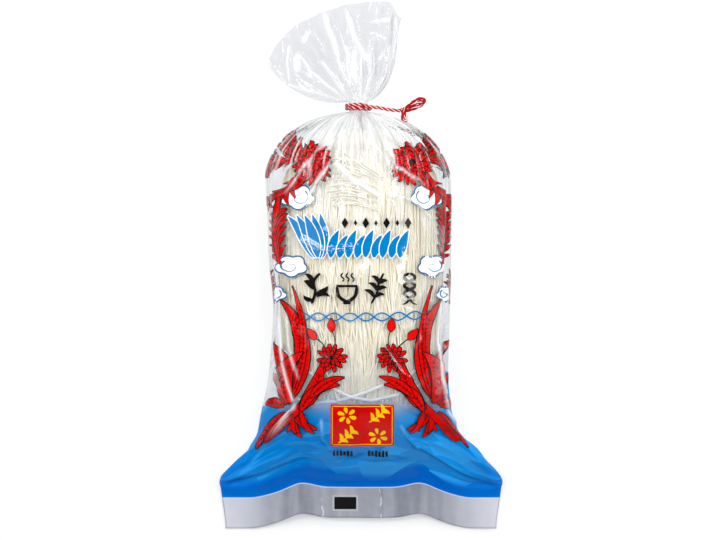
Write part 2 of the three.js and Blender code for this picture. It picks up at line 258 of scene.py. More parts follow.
# Smaller creases, which only the film has. The first ones also carry a painted pale highlight.
FINE_WITH_GLINTS = 13
FINE_CREASES = [
    ([(-71, 23.5), (-58, 25), (-47, 28.5), (-30, 30)], -0.55, 0.9),
    ([(-69, 24), (-55, 29), (-40, 31.5), (-22, 32.5)], 0.6, 1.0),
    ([(-67, 26), (-52, 34), (-36, 38)], 0.55, 1.1),
    ([(-62, 30), (-50, 41), (-38, 47)], -0.5, 1.0),
    ([(-56, 35), (-46, 46), (-36, 52)], 0.45, 0.9),
    ([(-20, 58), (-19.5, 47), (-15, 39), (-9, 32), (-3.5, 36)], 0.6, 0.9),
    ([(-15, 39), (-26, 43), (-40, 43)], 0.4, 1.2),
    ([(-9, 32), (6, 30), (20, 31)], -0.5, 1.1),
    ([(20, 55), (24, 47), (28, 41), (37, 36.5), (52, 30), (70, 23.5)], 0.65, 0.9),
    ([(28, 41), (36, 44), (47, 40)], 0.4, 1.0),
    ([(70, 23.2), (56, 25), (42, 28)], 0.55, 0.9),
    ([(69, 22.6), (58, 22.5), (46, 24)], -0.5, 0.9),
    ([(8, 34), (16, 37), (24, 33)], 0.45, 1.2),
    ([(-44, 104), (-41.5, 88), (-37, 72), (-33.5, 63), (-31, 58)], 0.9, 0.9),
    ([(-33.5, 63), (-42, 54), (-55, 41)], 0.8, 1.1),
    ([(-46, 96), (-42, 80), (-44, 66)], -0.8, 1.5),
    ([(43, 110), (40, 92), (41, 74), (45, 60)], 0.8, 0.9),
    ([(45, 60), (55, 44), (66, 31)], 0.8, 0.9),
    ([(-12, 187), (-20, 173), (-27, 160)], 0.7, 0.8),
    ([(-12, 187), (2, 174), (20, 162)], 0.7, 0.8),
    ([(-3, 178), (6, 168), (9, 150)], -0.4, 1.0),
    ([(-30, 150), (-18, 143), (-2, 146)], 0.35, 0.8),
    ([(10, 96), (20, 82), (32, 76)], 0.3, 0.8),
    ([(-30, 118), (-34, 100), (-30, 86)], 0.35, 0.9),
    ([(33, 150), (36, 128), (33, 112)], 0.35, 0.9),
]
# Creases that carry only a painted pale highlight line, with no relief.
GLINT_CREASES = [
    ([(-15, 187), (-21, 178), (-30, 165)], 1.0, 1.1),
    ([(-12, 186), (-4, 178), (10, 170)], 1.0, 1.5),
    ([(6, 196), (15, 186), (31, 176)], 0.7, 0.8),
    ([(-8, 203), (-22, 192), (-38, 172)], 0.6, 0.8),
    ([(12, 172), (26, 168), (37, 158)], 0.5, 0.7),
    ([(-41, 110), (-39.5, 92), (-36, 76), (-33, 66)], 1.0, 0.9),
    ([(-37, 112), (-36, 96), (-31, 80)], 0.5, 0.8),
    ([(41, 118), (39, 98), (40, 80), (44, 62)], 0.9, 0.9),
    ([(44, 62), (52, 48), (64, 33)], 1.0, 1.0),
    ([(-33, 66), (-41, 55), (-52, 43)], 0.9, 0.9),
]
# Creases of the gathered mouth, in the picture's steps: their relief, and a painted pale highlight along each
# on the front.
MOUTH_CREASES = [
    ([(289, 44), (287, 62), (289, 84)], 0.9, 0.8),
    ([(299, 54), (296, 60), (298, 72)], 1.0, 2.2),
    ([(302, 58), (308, 66), (311, 76)], 0.7, 0.9),
    ([(309, 31), (306, 37), (302, 43)], 0.9, 1.7),
    ([(324, 13), (328, 26), (333, 40), (338, 60)], 1.0, 1.9),
    ([(338, 60), (343, 74), (352, 92)], 0.6, 0.9),
    ([(346, 10), (350, 30), (355, 44)], 0.6, 1.4),
    ([(350, 18), (354, 34), (362, 52), (368, 66)], 1.0, 1.4),
    ([(354, 50), (354, 66), (355, 84)], 1.0, 2.3),
    ([(362, 56), (361, 72), (360, 98)], 0.8, 0.8),
    ([(348, 48), (347, 66), (351, 88)], 0.6, 0.9),
    ([(383, 52), (372, 74), (364, 96)], 0.5, 1.0),
    ([(371, 33), (379, 35), (387, 39)], 0.9, 0.8),
    ([(372, 22), (384, 19), (393, 21)], 0.6, 1.0),
    ([(396, 18), (397, 34), (393, 56)], 0.9, 0.9),
    ([(392, 58), (388, 72), (376, 90)], 0.6, 0.8),
    ([(288, 84), (300, 89), (316, 93)], 0.9, 1.0),
    ([(316, 93), (330, 98), (342, 102)], 0.5, 1.0),
    ([(322, 62), (334, 78), (347, 94)], 0.5, 1.2),
    ([(312, 72), (326, 84), (340, 96)], 0.4, 0.9),
]
MOUTH_STEP = 0.5075  # one step of the picture at the height of the mouth
MOUTH_SHEET = (95, 52)  # the width and height of its film, over which its facets are laid out


def mouth_creases(x, y, measure):
    """A measure of the creases on the front of the gathered mouth, at x, y."""
    px = (x - VIEW_CENTRE[0]) / MOUTH_STEP + PICTURE_WIDTH / 2
    py = PICTURE_HEIGHT / 2 - (y - VIEW_CENTRE[1]) / MOUTH_STEP
    return measure(px, py, [(points, rise, width / MOUTH_STEP) for points, rise, width in MOUTH_CREASES])


def crease_height(x, along, creases):
    """The height of creases at x, along. Each fades out over the ends of its path."""
    height = np.zeros_like(x)
    for points, rise, width in creases:
        near = np.full_like(x, 1e9)
        place = np.zeros_like(x)
        steps = len(points) - 1
        for n in range(steps):
            (ax, ay), (bx, by) = points[n], points[n + 1]
            dx, dy = bx - ax, by - ay
            t = np.clip(((x - ax) * dx + (along - ay) * dy) / (dx * dx + dy * dy), 0, 1)
            distance = np.hypot(x - ax - t * dx, along - ay - t * dy)
            place = np.where(distance < near, (n + t) / steps, place)
            near = np.minimum(near, distance)
        fade = smooth(0, 0.2, place + 0.1) * (1 - smooth(0.8, 1.1, place))
        height += rise * bell(near, width) * fade
    return height


def crease_glint_mask(x, along, creases):
    """Where a crease's painted pale highlight lies: 1 on the crease."""
    shown = [(points, abs(rise) ** 0.5, 0.7 * width) for points, rise, width in creases]
    return np.clip(crease_height(x, along, shown), 0, 1)


def broad_relief(turn, along, x):
    """The pleats and folds that the solid has too."""
    reach = smooth(165, 201, along) * (1 - smooth(206, NECK_START - 0.8, along))
    wander = turn + 0.006 * np.sin(2 * np.pi * 5 * turn + 1)
    pleat = SHOULDER_PLEAT_DEPTH * reach * (np.abs(np.sin(np.pi * SHOULDER_PLEATS * wander)) - 0.75)
    from_edge = np.minimum(turn % 0.5, 0.5 - (turn % 0.5)) * FOLD_GIRTH
    reach = smooth(66, 90, along) * (1 - smooth(165, 190, along))
    side = -SIDE_FOLD_DEPTH * reach * bell(from_edge - 9, 3.2)
    reach = smooth(62, 95, along) * (1 - smooth(165, 195, along))
    swelling = 0.7 * reach * np.sin(2 * np.pi * 7 * turn + 0.02 * along + 2.2)
    skirt = np.where(turn <= 0.5, crease_height(x, along, CREASES), 0.5 * crease_height(-x, along, CREASES))
    skirt = skirt * smooth(SEAL_HEIGHT + 1, SEAL_HEIGHT + 9, along)
    return pleat + side + swelling + skirt


def crumple(a, b, seed, waves, longest, shortest):
    """Small flat facets, as thin film makes when it is handled: pressed folds in many directions."""
    rng = np.random.default_rng(seed)
    height = np.zeros_like(a)
    for _ in range(waves):
        angle = rng.uniform(0, math.pi)
        length = rng.uniform(shortest, longest)
        bend = rng.uniform(0.05, 0.13) * length
        swing = rng.uniform(1.6, 3.2) * length
        phase = rng.uniform(0, 10, 3)
        along = a * math.cos(angle) + b * math.sin(angle)
        side = b * math.cos(angle) - a * math.sin(angle)
        fold = zigzag((along + bend * np.sin(side / swing * 6.3 + phase[0])) / length + phase[1])
        patch = 0.5 + 0.5 * np.sin(side / swing * 4 + phase[2])
        height += (fold - 0.5) * patch * length / longest
    return height / math.sqrt(waves)


def fine_relief(turn, along, x):
    """The smaller pleats and creases, which only the film has."""
    from_left = np.minimum(turn, 1 - turn) * FILM_GIRTH
    to_side = np.minimum(from_left, FILM_GIRTH / 2 - from_left)
    inner = smooth(0, 14, to_side)
    front = turn < 0.5
    wander = turn + 0.0035 * np.sin(2 * np.pi * 8 * turn + 0.06 * along)
    wander = wander + 0.001 * np.sin(2 * np.pi * 23 * turn)
    uneven = 0.55 + 0.45 * np.sin(2 * np.pi * 9 * turn + 1.3)
    gather = smooth(168, 204, along) * (1 - smooth(209, NECK_START - 0.4, along))
    pleats = gather * uneven * 0.8 * (np.abs(np.sin(np.pi * 67 * wander)) - 0.6)
    ripples = 0.4 * np.sin(from_left / 1.1 + 1.4 * np.sin(along / 17)) * bell(to_side - 9, 7)
    ripples = ripples * smooth(60, 80, along) * (1 - smooth(180, 196, along))
    filled = smooth(18, 30, along) * (1 - smooth(196, 208, along))
    folds = np.where(
        front,
        crumple(from_left, along, 5, 9, 34, 12) + 0.5 * crumple(from_left, along, 8, 8, 12, 5),
        crumple(from_left, along, 11, 9, 34, 12),
    )
    folds = 0.75 * filled * (0.35 + 0.65 * inner) * folds * inner
    creases = np.where(front, crease_height(x, along, FINE_CREASES), 0)
    return pleats + ripples + folds + 1.6 * creases * smooth(SEAL_HEIGHT + 0.5, SEAL_HEIGHT + 7, along)


def seal_relief(x, along):
    """The seal strip's slow waves, with a few short cracks."""
    flat = 1 - smooth(14, 24, along)
    wave = 0.5 * np.sin(x / 7.5 + 0.4) + 0.3 * np.sin(x / 3.1 + along / 9)
    cracks = 0.5 * bell(x + 19.5 - 0.06 * along, 0.6) + 0.55 * bell(x - 11.5 + 0.05 * along, 0.6)
    return flat * (wave + cracks)


class Film:
    """The film as a grid of points, by the share of the way round the bag and the distance along it."""

    def __init__(self, columns, along, shares):
        self.columns = columns
        self.along = along
        self.turn = np.arange(columns) / columns
        rings = [plain_ring(a, columns) for a in along]
        self.plain = np.stack([ring for ring, _ in rings])
        self.front_length = np.array([length for _, length in rings])
        turn = np.broadcast_to(self.turn, self.plain.shape[:2])
        stations = np.broadcast_to(along[:, None], self.plain.shape[:2])
        x = self.plain[..., 0]
        relief = broad_relief(turn, stations, x) + fine_relief(turn, stations, x)
        moved = self.plain + normals_of(self.plain) * relief[..., None]
        height = np.abs(moved[..., 2])
        moved[..., 2] += seal_relief(x, stations) * (height + 0.3) / (height + 1.2)
        moved[..., 2] = np.maximum(moved[..., 2], 0.0)
        self.body = moved
        self.fan = np.stack([self.fan_points(share) for share in shares])
        # Masks of the painted pale highlights along the creases, on the body and on the mouth's front.
        body_glints = crease_glint_mask(x, stations, GLINT_CREASES + FINE_CREASES[:FINE_WITH_GLINTS])
        body_glints = body_glints * smooth(22, 26, stations)
        mouth_crease_glints = mouth_creases(self.fan[..., 0], self.fan[..., 1], crease_glint_mask)
        on_front = self.turn < 0.5
        self.pressed = body_glints * on_front
        self.mouth_glints = mouth_crease_glints * on_front
        self.points = np.concatenate([self.body, self.fan])
        self.normals = normals_of(self.points)
        fan_along = NECK_END + shares * MOUTH_RADIUS
        self.stations = np.concatenate([along, fan_along])

    def fan_points(self, share):
        """One ring of the gathered mouth with its facets, pleats and creases."""
        ring, s = fan_ring(share, self.columns)
        back = np.arange(self.columns) >= self.columns // 2
        a = s * MOUTH_SHEET[0]
        b = np.full_like(a, share * MOUTH_SHEET[1])
        edge = smooth(0, 0.06, s) * (1 - smooth(0.94, 1, s))
        folds = np.where(back, crumple(a, b, 21, 8, 30, 9), crumple(a, b, 22, 9, 34, 8))
        radial = 0.8 * (np.abs(np.sin(np.pi * (31 * s + 1.2 * np.sin(5 * s)))) - 0.6)
        radial = radial * (1 - 0.93 * smooth(0.16, 0.62, share)) * smooth(0, 0.12, share)
        folds = np.where(back, 1.2, 2.1) * folds * smooth(0.1, 0.5, share)
        pressed = np.where(back, 0, mouth_creases(ring[:, 0], ring[:, 1], crease_height))
        pressed = pressed * smooth(0.03, 0.2, share)
        ring[:, 2] += edge * (folds + np.where(back, -0.6, 1.0) * radial + pressed)
        return ring

    def between(self, grid, turn, along):
        """A grid's values at places between its points."""
        row = np.interp(along, self.along, np.arange(len(self.along)))
        low = np.clip(row.astype(int), 0, len(self.along) - 2)
        column = (turn % 1.0) * self.columns
        left = np.floor(column).astype(int) % self.columns
        right = (left + 1) % self.columns
        u, v = column - np.floor(column), row - low
        if grid.ndim == 3:
            u, v = u[:, None], v[:, None]
        lower = mix(grid[low, left], grid[low, right], u)
        return mix(lower, mix(grid[low + 1, left], grid[low + 1, right], u), v)

    def place(self, turn, along, inwards):
        """Points on the body's film, at a depth under it."""
        normal = self.between(self.normals, turn, along)
        normal /= np.linalg.norm(normal, axis=1, keepdims=True)
        return self.between(self.points, turn, along) - normal * np.asarray(inwards)[..., None]

    def seen_at(self, px, py):
        """The way round and the distance along of the front point that the picture shows at px, py.

        Near the sides, where the film turns away from the camera, it goes on round at a steady pace."""
        half = self.columns // 2
        z = np.full_like(px, 45.0)
        turn = np.empty_like(px)
        for _ in range(4):
            scale = PICTURE_STEP * (1 - z / VIEW_DISTANCE)
            x = (px - PICTURE_WIDTH / 2) * scale + VIEW_CENTRE[0]
            y = (PICTURE_HEIGHT / 2 - py) * scale + VIEW_CENTRE[1]
            along = y - seal_arch(x) * (1 - smooth(20, 62, y))
            row = np.rint(np.interp(along, self.along, np.arange(len(self.along)))).astype(int)
            pace = 1 + 0.7 * smooth(50, 80, along)
            for n in range(len(px)):
                ring = self.plain[row[n], :half]
                facing = np.clip(x[n], 0.8 * ring[0, 0], 0.8 * ring[-1, 0])
                at = np.interp(facing, ring[:, 0], self.turn[:half])
                turn[n] = at + 0.5 * (x[n] - facing) * pace[n] / self.front_length[row[n]]
                z[n] = np.interp(abs(turn[n]), self.turn[:half], ring[:, 2])
        return turn, along


def normals_of(points):
    """Outward normals of rings of points."""
    round_bag = np.roll(points, -1, axis=1) - np.roll(points, 1, axis=1)
    along_bag = np.gradient(points, axis=0)
    normal = np.cross(round_bag, along_bag)
    return normal / np.maximum(np.linalg.norm(normal, axis=2, keepdims=True), 1e-9)


# =====================================================================================================
# Meshes
# =====================================================================================================
SOLID_LEFT = -72.76  # the bag's left edge in its own frame
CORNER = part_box("bag")[0]
SHIFT = np.array([CORNER.x * 1000 - SOLID_LEFT, CORNER.y * 1000, 0.0])


def to_frame(points):
    return (np.asarray(points, float) + SHIFT) * MM


def new_piece(name, points, faces, material):
    """A piece of the bag from points in millimetres."""
    mesh = bpy.data.meshes.new(name)
    mesh.from_pydata(to_frame(points).tolist(), [], [list(face) for face in faces])
    mesh.validate()
    mesh.materials.append(material)
    mesh.shade_smooth()
    return finish_piece(name, mesh, "bag")


def linked(name, data):
    """An object of the scene."""
    thing = bpy.data.objects.new(name, data)
    bpy.context.scene.collection.objects.link(thing)
    return thing


def finish_piece(name, mesh, replaces):
    piece = linked(name, mesh)
    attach(piece, BODY)
    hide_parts(replaces)
    return piece


def run_lengths(path):
    """The distance along a path at each of its points."""
    return np.concatenate([[0], np.cumsum(np.linalg.norm(np.diff(path, axis=0), axis=1))])


def ring_faces(rows, columns):
    """The four-sided faces between closed rings of points."""
    j, i = np.meshgrid(np.arange(rows - 1), np.arange(columns), indexing="ij")
    k = (i + 1) % columns
    faces = np.stack([j * columns + i, j * columns + k, (j + 1) * columns + k, (j + 1) * columns + i], -1)
    return faces.reshape(-1, 4)


def strip_faces(rows, columns):
    """The four-sided faces between open rows of points."""
    j, i = np.meshgrid(np.arange(rows - 1), np.arange(columns - 1), indexing="ij")
    a = j * columns + i
    return np.stack([a, a + 1, a + 1 + columns, a + columns], -1).reshape(-1, 4)


def mm(length):
    """A setting's metres as millimetres."""
    return length * 1000


def set_number(mesh, name, values):
    attribute = mesh.attributes.new(name, "FLOAT", "POINT")
    attribute.data.foreach_set("value", np.asarray(values, np.float32))


# =====================================================================================================
# Shaders
# =====================================================================================================
# The film's facets, by width round the bag and length along it, and how far they lean where the film is
# filled and where it is gathered.
FACETS = [(17.0, 22.0, 0.2, 0.55), (6.0, 9.0, 0.1, 0.3)]


class Number:
    """A value inside a shader. Sums and products of it add their own Math nodes."""

    def __init__(self, shader, socket):
        self.shader = shader
        self.socket = socket

    def math(self, operation, *others):
        return self.shader.node("ShaderNodeMath", {"operation": operation}, [self, *others])

    def __add__(self, other):
        return self.math("ADD", other)

    __radd__ = __add__

    def __mul__(self, other):
        return self.math("MULTIPLY", other)

    __rmul__ = __mul__

    def __sub__(self, other):
        return self.math("SUBTRACT", other)

    def __rsub__(self, other):
        return self.shader.node("ShaderNodeMath", {"operation": "SUBTRACT"}, [other, self])

    def __truediv__(self, other):
        return self.math("DIVIDE", other)

    def __rtruediv__(self, other):
        return self.shader.node("ShaderNodeMath", {"operation": "DIVIDE"}, [other, self])

    def ease(self, low, high):
        """0 below low, 1 above high and a smooth rise between them."""
        settings = {"interpolation_type": "SMOOTHSTEP"}
        return self.shader.node("ShaderNodeMapRange", settings, [self, low, high, 0.0, 1.0])

    def near(self, middle, width):
        """1 at middle, and 0 from width away."""
        return 1 - ((self - middle) / width).math("ABSOLUTE").ease(0.0, 1.0)

    def __getitem__(self, name):
        return Number(self.shader, self.socket.node.outputs[name])


class Shader:
    """The nodes of a material or a world, written as expressions."""

    def __init__(self, owner):
        owner.use_nodes = True
        self.owner = owner
        self.tree = owner.node_tree
        self.tree.nodes.clear()

    def node(self, kind, settings=None, inputs=()):
        """A node of any kind, its settings first and then its sockets' values or links."""
        made = self.tree.nodes.new(kind)
        for name, value in (settings or {}).items():
            setattr(made, name, value)
        pairs = inputs.items() if isinstance(inputs, dict) else enumerate(inputs)
        for key, value in pairs:
            if isinstance(value, Number):
                self.tree.links.new(value.socket, made.inputs[key])
            else:
                made.inputs[key].default_value = value
        live = [output for output in made.outputs if output.enabled]
        return Number(self, live[0]) if live else None

    def number_of(self, name):
        """A number kept on the piece's own points."""
        return self.node("ShaderNodeAttribute", {"attribute_name": name})["Fac"]

    def place(self):
        return self.node("ShaderNodeTexCoord")["Object"]

    def at(self, x, y, z=0.0):
        return self.node("ShaderNodeCombineXYZ", {}, [x, y, z])

    def axis(self, vector, name):
        return self.node("ShaderNodeSeparateXYZ", {}, [vector])[name]

    def noise(self, vector, scale, detail=3.0, roughness=0.5):
        inputs = {"Vector": vector, "Scale": scale, "Detail": detail, "Roughness": roughness}
        return self.node("ShaderNodeTexNoise", {}, inputs)

    def blend(self, factor, a, b):
        """A colour between a and b."""
        return self.node("ShaderNodeMix", {"data_type": "RGBA"}, {0: factor, 6: a, 7: b})

    def vector(self, operation, *values):
        return self.node("ShaderNodeVectorMath", {"operation": operation}, values)

    def bump(self, height, strength, distance, normal=None):
        inputs = {"Strength": strength, "Distance": distance, "Height": height}
        if normal:
            inputs["Normal"] = normal
        return self.node("ShaderNodeBump", {}, inputs)

    def diffuse(self, colour, normal):
        return self.node("ShaderNodeBsdfDiffuse", {}, {"Color": colour, "Normal": normal})

    def clear(self, colour):
        return self.node("ShaderNodeBsdfTransparent", {}, {"Color": colour})

    def principled(self, **inputs):
        named = {name.replace("_", " "): value for name, value in inputs.items()}
        return self.node("ShaderNodeBsdfPrincipled", {}, named)

    def mixed(self, factor, a, b):
        """One shader where factor is 0, and the other where it is 1."""
        return self.node("ShaderNodeMixShader", {}, [factor, a, b])

    def finish(self, surface, kind="ShaderNodeOutputMaterial"):
        self.node(kind, {}, [surface])
        return self.owner


def material_shader(name):
    return Shader(bpy.data.materials.new(name))


def rgb(red, green, blue):
    """A picture's colour, 0 to 255 each, as light."""
    values = [v / 255 for v in (red, green, blue)]
    return (*[v / 12.92 if v <= 0.04045 else ((v + 0.055) / 1.055) ** 2.4 for v in values], 1.0)


class Handled:
    """Thin film that has been handled: flat facets with crisp edges, and painted highlights: pale along its
    creases, in fine streaks where it is gathered and in blotches towards its sides."""

    def __init__(self, shader):
        along = shader.number_of("along")
        turn = shader.number_of("turn")
        neck = along.ease(168.0, 204.0) * (1 - along.ease(NECK_END + 2, NECK_END + 44))
        loose = along.ease(196.0, NECK_END + 10)
        on_bag = along.ease(SEAL_HEIGHT - 2, SEAL_HEIGHT + 8)
        tilt = None
        for wide, tall, filled, gathered in FACETS:
            cell = shader.at(turn * (FILM_GIRTH / wide), along / tall)
            drift = shader.noise(cell, 0.8, 1.0)["Color"]
            cell = shader.vector("MULTIPLY_ADD", drift, (1.1, 1.1, 0.0), cell)
            settings = {"voronoi_dimensions": "2D", "feature": "SMOOTH_F1"}
            inputs = {"Vector": cell, "Scale": 1.0, "Smoothness": 0.22}
            lean = shader.node("ShaderNodeTexVoronoi", settings, inputs)["Color"]
            lean = shader.vector("SUBTRACT", lean, (0.5, 0.5, 0.5))
            amount = (filled + (gathered - filled) * loose.math("MAXIMUM", neck)) * on_bag
            lean = shader.node("ShaderNodeVectorMath", {"operation": "SCALE"}, {0: lean, "Scale": amount})
            tilt = shader.vector("ADD", lean, tilt) if tilt else lean
        surface = shader.node("ShaderNodeNewGeometry")["Normal"]
        facets = shader.vector("NORMALIZE", shader.vector("ADD", surface, tilt))
        ripples = shader.noise(shader.place(), 48.0, 1.0, 0.5)
        self.normal = shader.bump(ripples, 0.06, 0.001, facets)

        # Painted highlights, gathered in pale: lines along creases, fine streaks near the neck, blotches at
        # the sides.
        pleat_glints = shader.noise(shader.at(turn * 110.0, along * 0.035), 1.0, 2.0, 0.6).ease(0.54, 0.66)
        pressed = (0.9 * along.ease(48.0, 64.0) - 0.15 * loose) * shader.number_of("pressed")
        from_middle = (turn - 0.25).math("ABSOLUTE")
        sides = from_middle.ease(0.15, 0.21) * (1 - from_middle.ease(0.25, 0.26))
        side_glints = shader.noise(shader.place(), 60.0, 3.0).ease(0.5, 0.57)
        side_glints = side_glints * sides * along.ease(60.0, 80.0) * (1 - along.ease(140.0, 170.0))
        self.pale = pressed.math("MAXIMUM", 0.75 * pleat_glints * neck).math("MAXIMUM", 0.32 * side_glints)
        self.gloss = 0.3 + 0.7 * along.ease(58.0, 88.0)


def under_gloss(shader, surface, look, handled):
    """Painted pale highlights, then the film's mirror-like gloss, over whatever it is made of or printed
    with.
    """
    normal = handled.normal
    # the painted highlights: a pale diffuse layer where handled.pale is high
    surface = shader.mixed(handled.pale, surface, shader.diffuse(rgb(240, 241, 243), normal))
    gloss = shader.node("ShaderNodeBsdfGlossy", {}, {"Roughness": look.roughness, "Normal": normal})
    away = shader.node("ShaderNodeLayerWeight", {}, {"Blend": 0.5, "Normal": normal})["Facing"]
    share = look.gloss + (0.8 - look.gloss) * away.math("POWER", 3.6)
    return shader.mixed(share * handled.gloss, surface, gloss)


MARK_AT = (-8.1, 7.6)  # the dark register mark's middle on the seal strip
MARK_HALF = (5.6, 3.1)
FLAP_EDGES = (-20.3, 10.3)


def skirt_colour(shader, look, along, across, drift):
    """The blue skirt, with painted highlights: lighter facets and streaks that run out to its corners."""
    outwards = across.math("ABSOLUTE")
    fan = (along - 23.0) / (80.0 - outwards)
    bend = 0.5 * (shader.noise(shader.place(), 18.0, 1.0) - 0.5)
    cells = {"Vector": shader.at(6.5 * (fan + bend), 0.052 * across), "Scale": 1.0}
    facet = shader.node("ShaderNodeTexVoronoi", {"voronoi_dimensions": "2D"}, cells)
    facet = shader.axis(facet["Color"], "X")
    lines = shader.noise(shader.at(24.0 * fan, 0.05 * across), 1.0, 2.0)
    # painted highlights: the lit facets, the streaks and the pale creases turn the blue lighter
    lit = facet.ease(0.3, 1.0) * (0.55 + 0.9 * (drift - 0.3)) + 0.5 * lines.ease(0.6, 0.68)
    lit = lit.math("MAXIMUM", 0.8 * shader.number_of("pressed"))
    open_part = (along + 5.0 * (facet - 0.5)).ease(22.5, 26.5) * (1 - 0.4 * outwards.ease(52.0, 70.0))
    blue = shader.blend(open_part, look.blue_low, look.blue_high)
    blue = shader.blend(0.6 * along.ease(50.0, 70.0), blue, rgb(8, 130, 188))
    blue = shader.blend(0.7 * outwards.ease(40.0, 62.0) * (1 - open_part), blue, rgb(0, 106, 200))
    return shader.blend((lit * (0.12 + 0.88 * open_part)).math("MINIMUM", 1.0), blue, look.blue_lit)


def seal_colour(shader, look, along, across, grain, on_front):
    """The silvery seal strip: painted shade in its middle and in soft upright folds, a flap with cracked
    edges that carry painted highlights, and the register mark.
    """

    def patch(width, height, soft):
        beside = (across - MARK_AT[0]).math("ABSOLUTE")
        above = (along - MARK_AT[1]).math("ABSOLUTE")
        return (1 - beside.ease(width, width + soft)) * (1 - above.ease(height, height + soft)) * on_front

    # painted shade: darker towards the middle of the strip, lighter at its ends
    shade = across.ease(-76.0, -30.0) * (1 - across.ease(30.0, 78.0))
    silver = shader.blend(shade, look.seal_light, look.seal_dark)
    # upright bands of painted shade for soft folds
    upright = shader.noise(shader.at(0.11 * across, 0.012 * along), 1.0, 2.0)
    silver = shader.blend(0.35 * upright.ease(0.42, 0.62), silver, rgb(168, 170, 178))
    silver = shader.blend(0.12 * grain, silver, rgb(226, 228, 234))
    jagged = across + 2.2 * (grain - 0.5) + 5.0 * (shader.noise(shader.place(), 90.0, 2.0) - 0.5)
    left, right = FLAP_EDGES
    flap = jagged.ease(left - 0.3, left + 0.3) * (1 - jagged.ease(right - 0.3, right + 0.3))
    cracks = jagged.near(left, 0.6).math("MAXIMUM", jagged.near(right, 0.6))
    silver = shader.blend(0.16 * flap, silver, rgb(196, 197, 202))
    # painted highlights along the flap's cracked edges
    silver = shader.blend(0.5 * cracks * grain.ease(0.42, 0.52) * on_front, silver, rgb(226, 228, 232))
    width, height = MARK_HALF
    silver = shader.blend(0.7 * patch(width + 0.9, height + 0.8, 0.2), silver, rgb(176, 177, 182))
    return shader.blend(patch(width, height, 0.15), silver, rgb(20, 20, 22))


def film_material(look):
    """Clear glossy film, with its blue skirt and its silvery seal strip."""
    shader = material_shader("glossy_film")
    along = shader.number_of("along")
    across = shader.number_of("across")
    turn = shader.number_of("turn")
    place = shader.place()
    drift = shader.noise(place, 26.0, 2.0)
    grain = shader.noise(place, 210.0, 3.0)

    # the skirt's blue fades out up the front, and ends at a slanting edge behind it
    on_front = 1 - (turn - 0.255).math("ABSOLUTE").ease(0.2445, 0.2455)
    outwards = across.math("ABSOLUTE")
    side = outwards.ease(14.0, 32.0)
    full, end = mm(look.blue_full), mm(look.blue_end)
    fade = (along + 8.0 * (drift - 0.5) - full - 10.0 * side) / ((end - full) * (1 - 0.85 * side))
    edge = along - 0.19 * across
    behind = (1 - edge.ease(73.4, 74.0)) * outwards.ease(30.0, 34.0)
    behind = behind * (1 - on_front).math("MAXIMUM", outwards.ease(41.4, 42.2))
    skirt = (1 - fade.ease(0.0, 1.0)).math("MAXIMUM", behind)

    strip = 1 - along.ease(SEAL_HEIGHT + 0.35, SEAL_HEIGHT + 0.75)
    blue = skirt_colour(shader, look, along, across, drift)
    ink_colour = shader.blend(strip, blue, seal_colour(shader, look, along, across, grain, on_front))
    gap = along.near(SEAL_HEIGHT + 0.7, 0.45)
    ink_colour = shader.blend(0.75 * gap, ink_colour, rgb(214, 226, 240))
    cover = look.blue_cover + (look.seal_cover - look.blue_cover) * strip

    # clear film, milky in places: towards its sides, low on the front, and over the top of the front towards
    # the neck
    handled = Handled(shader)
    normal = handled.normal
    gathered = along.ease(NECK_START, NECK_END + 8)
    sheet = shader.mixed(gathered, shader.clear(look.clearness), shader.clear(look.mouth))
    side_whitening = outwards.ease(33.0, 43.0) * along.near(84.0, 34.0) * (0.5 + drift)
    milky = look.haze + 0.22 * side_whitening + 0.26 * (1 - along.ease(72.0, 96.0)) * on_front
    sheet = shader.mixed(milky, sheet, shader.diffuse(rgb(200, 208, 218), normal))
    top_whitening = (0.17 * along.ease(150.0, 190.0) + 0.16 * along.near(199.0, 9.0)) * on_front
    top_whitening = top_whitening * (1 - gathered) * (1 - outwards.ease(12.0, 36.0)) * (0.5 + drift)
    sheet = shader.mixed(top_whitening, sheet, shader.diffuse(rgb(250, 249, 244), normal))
    printed = shader.principled(
        Base_Color=ink_colour, Roughness=0.5, Specular_IOR_Level=0.0, Normal=normal
    )
    sheet = shader.mixed(skirt.math("MAXIMUM", strip) * cover, sheet, printed)
    return shader.finish(under_gloss(shader, sheet, look, handled))


def ink_material(name, colour, dark, look):
    """Ink on the film, a little uneven, with painted shade where the film turns away at its sides."""
    shader = material_shader(name)
    mottle = shader.noise(shader.place(), 90.0, 4.0, 0.6)
    colour = shader.blend(0.4 * mottle.ease(0.45, 0.75), colour, dark)
    # painted shade towards the sides, where the film turns away
    to_side = (shader.number_of("turn") - 0.25).math("ABSOLUTE").ease(0.12, 0.2)
    colour = shader.blend(to_side * (0.2 + 0.5 * mottle), colour, dark)
    handled = Handled(shader)
    surface = shader.principled(
        Base_Color=colour, Roughness=0.45 + 0.2 * mottle, Specular_IOR_Level=0.0, Normal=handled.normal
    )
    return shader.finish(under_gloss(shader, surface, look, handled))


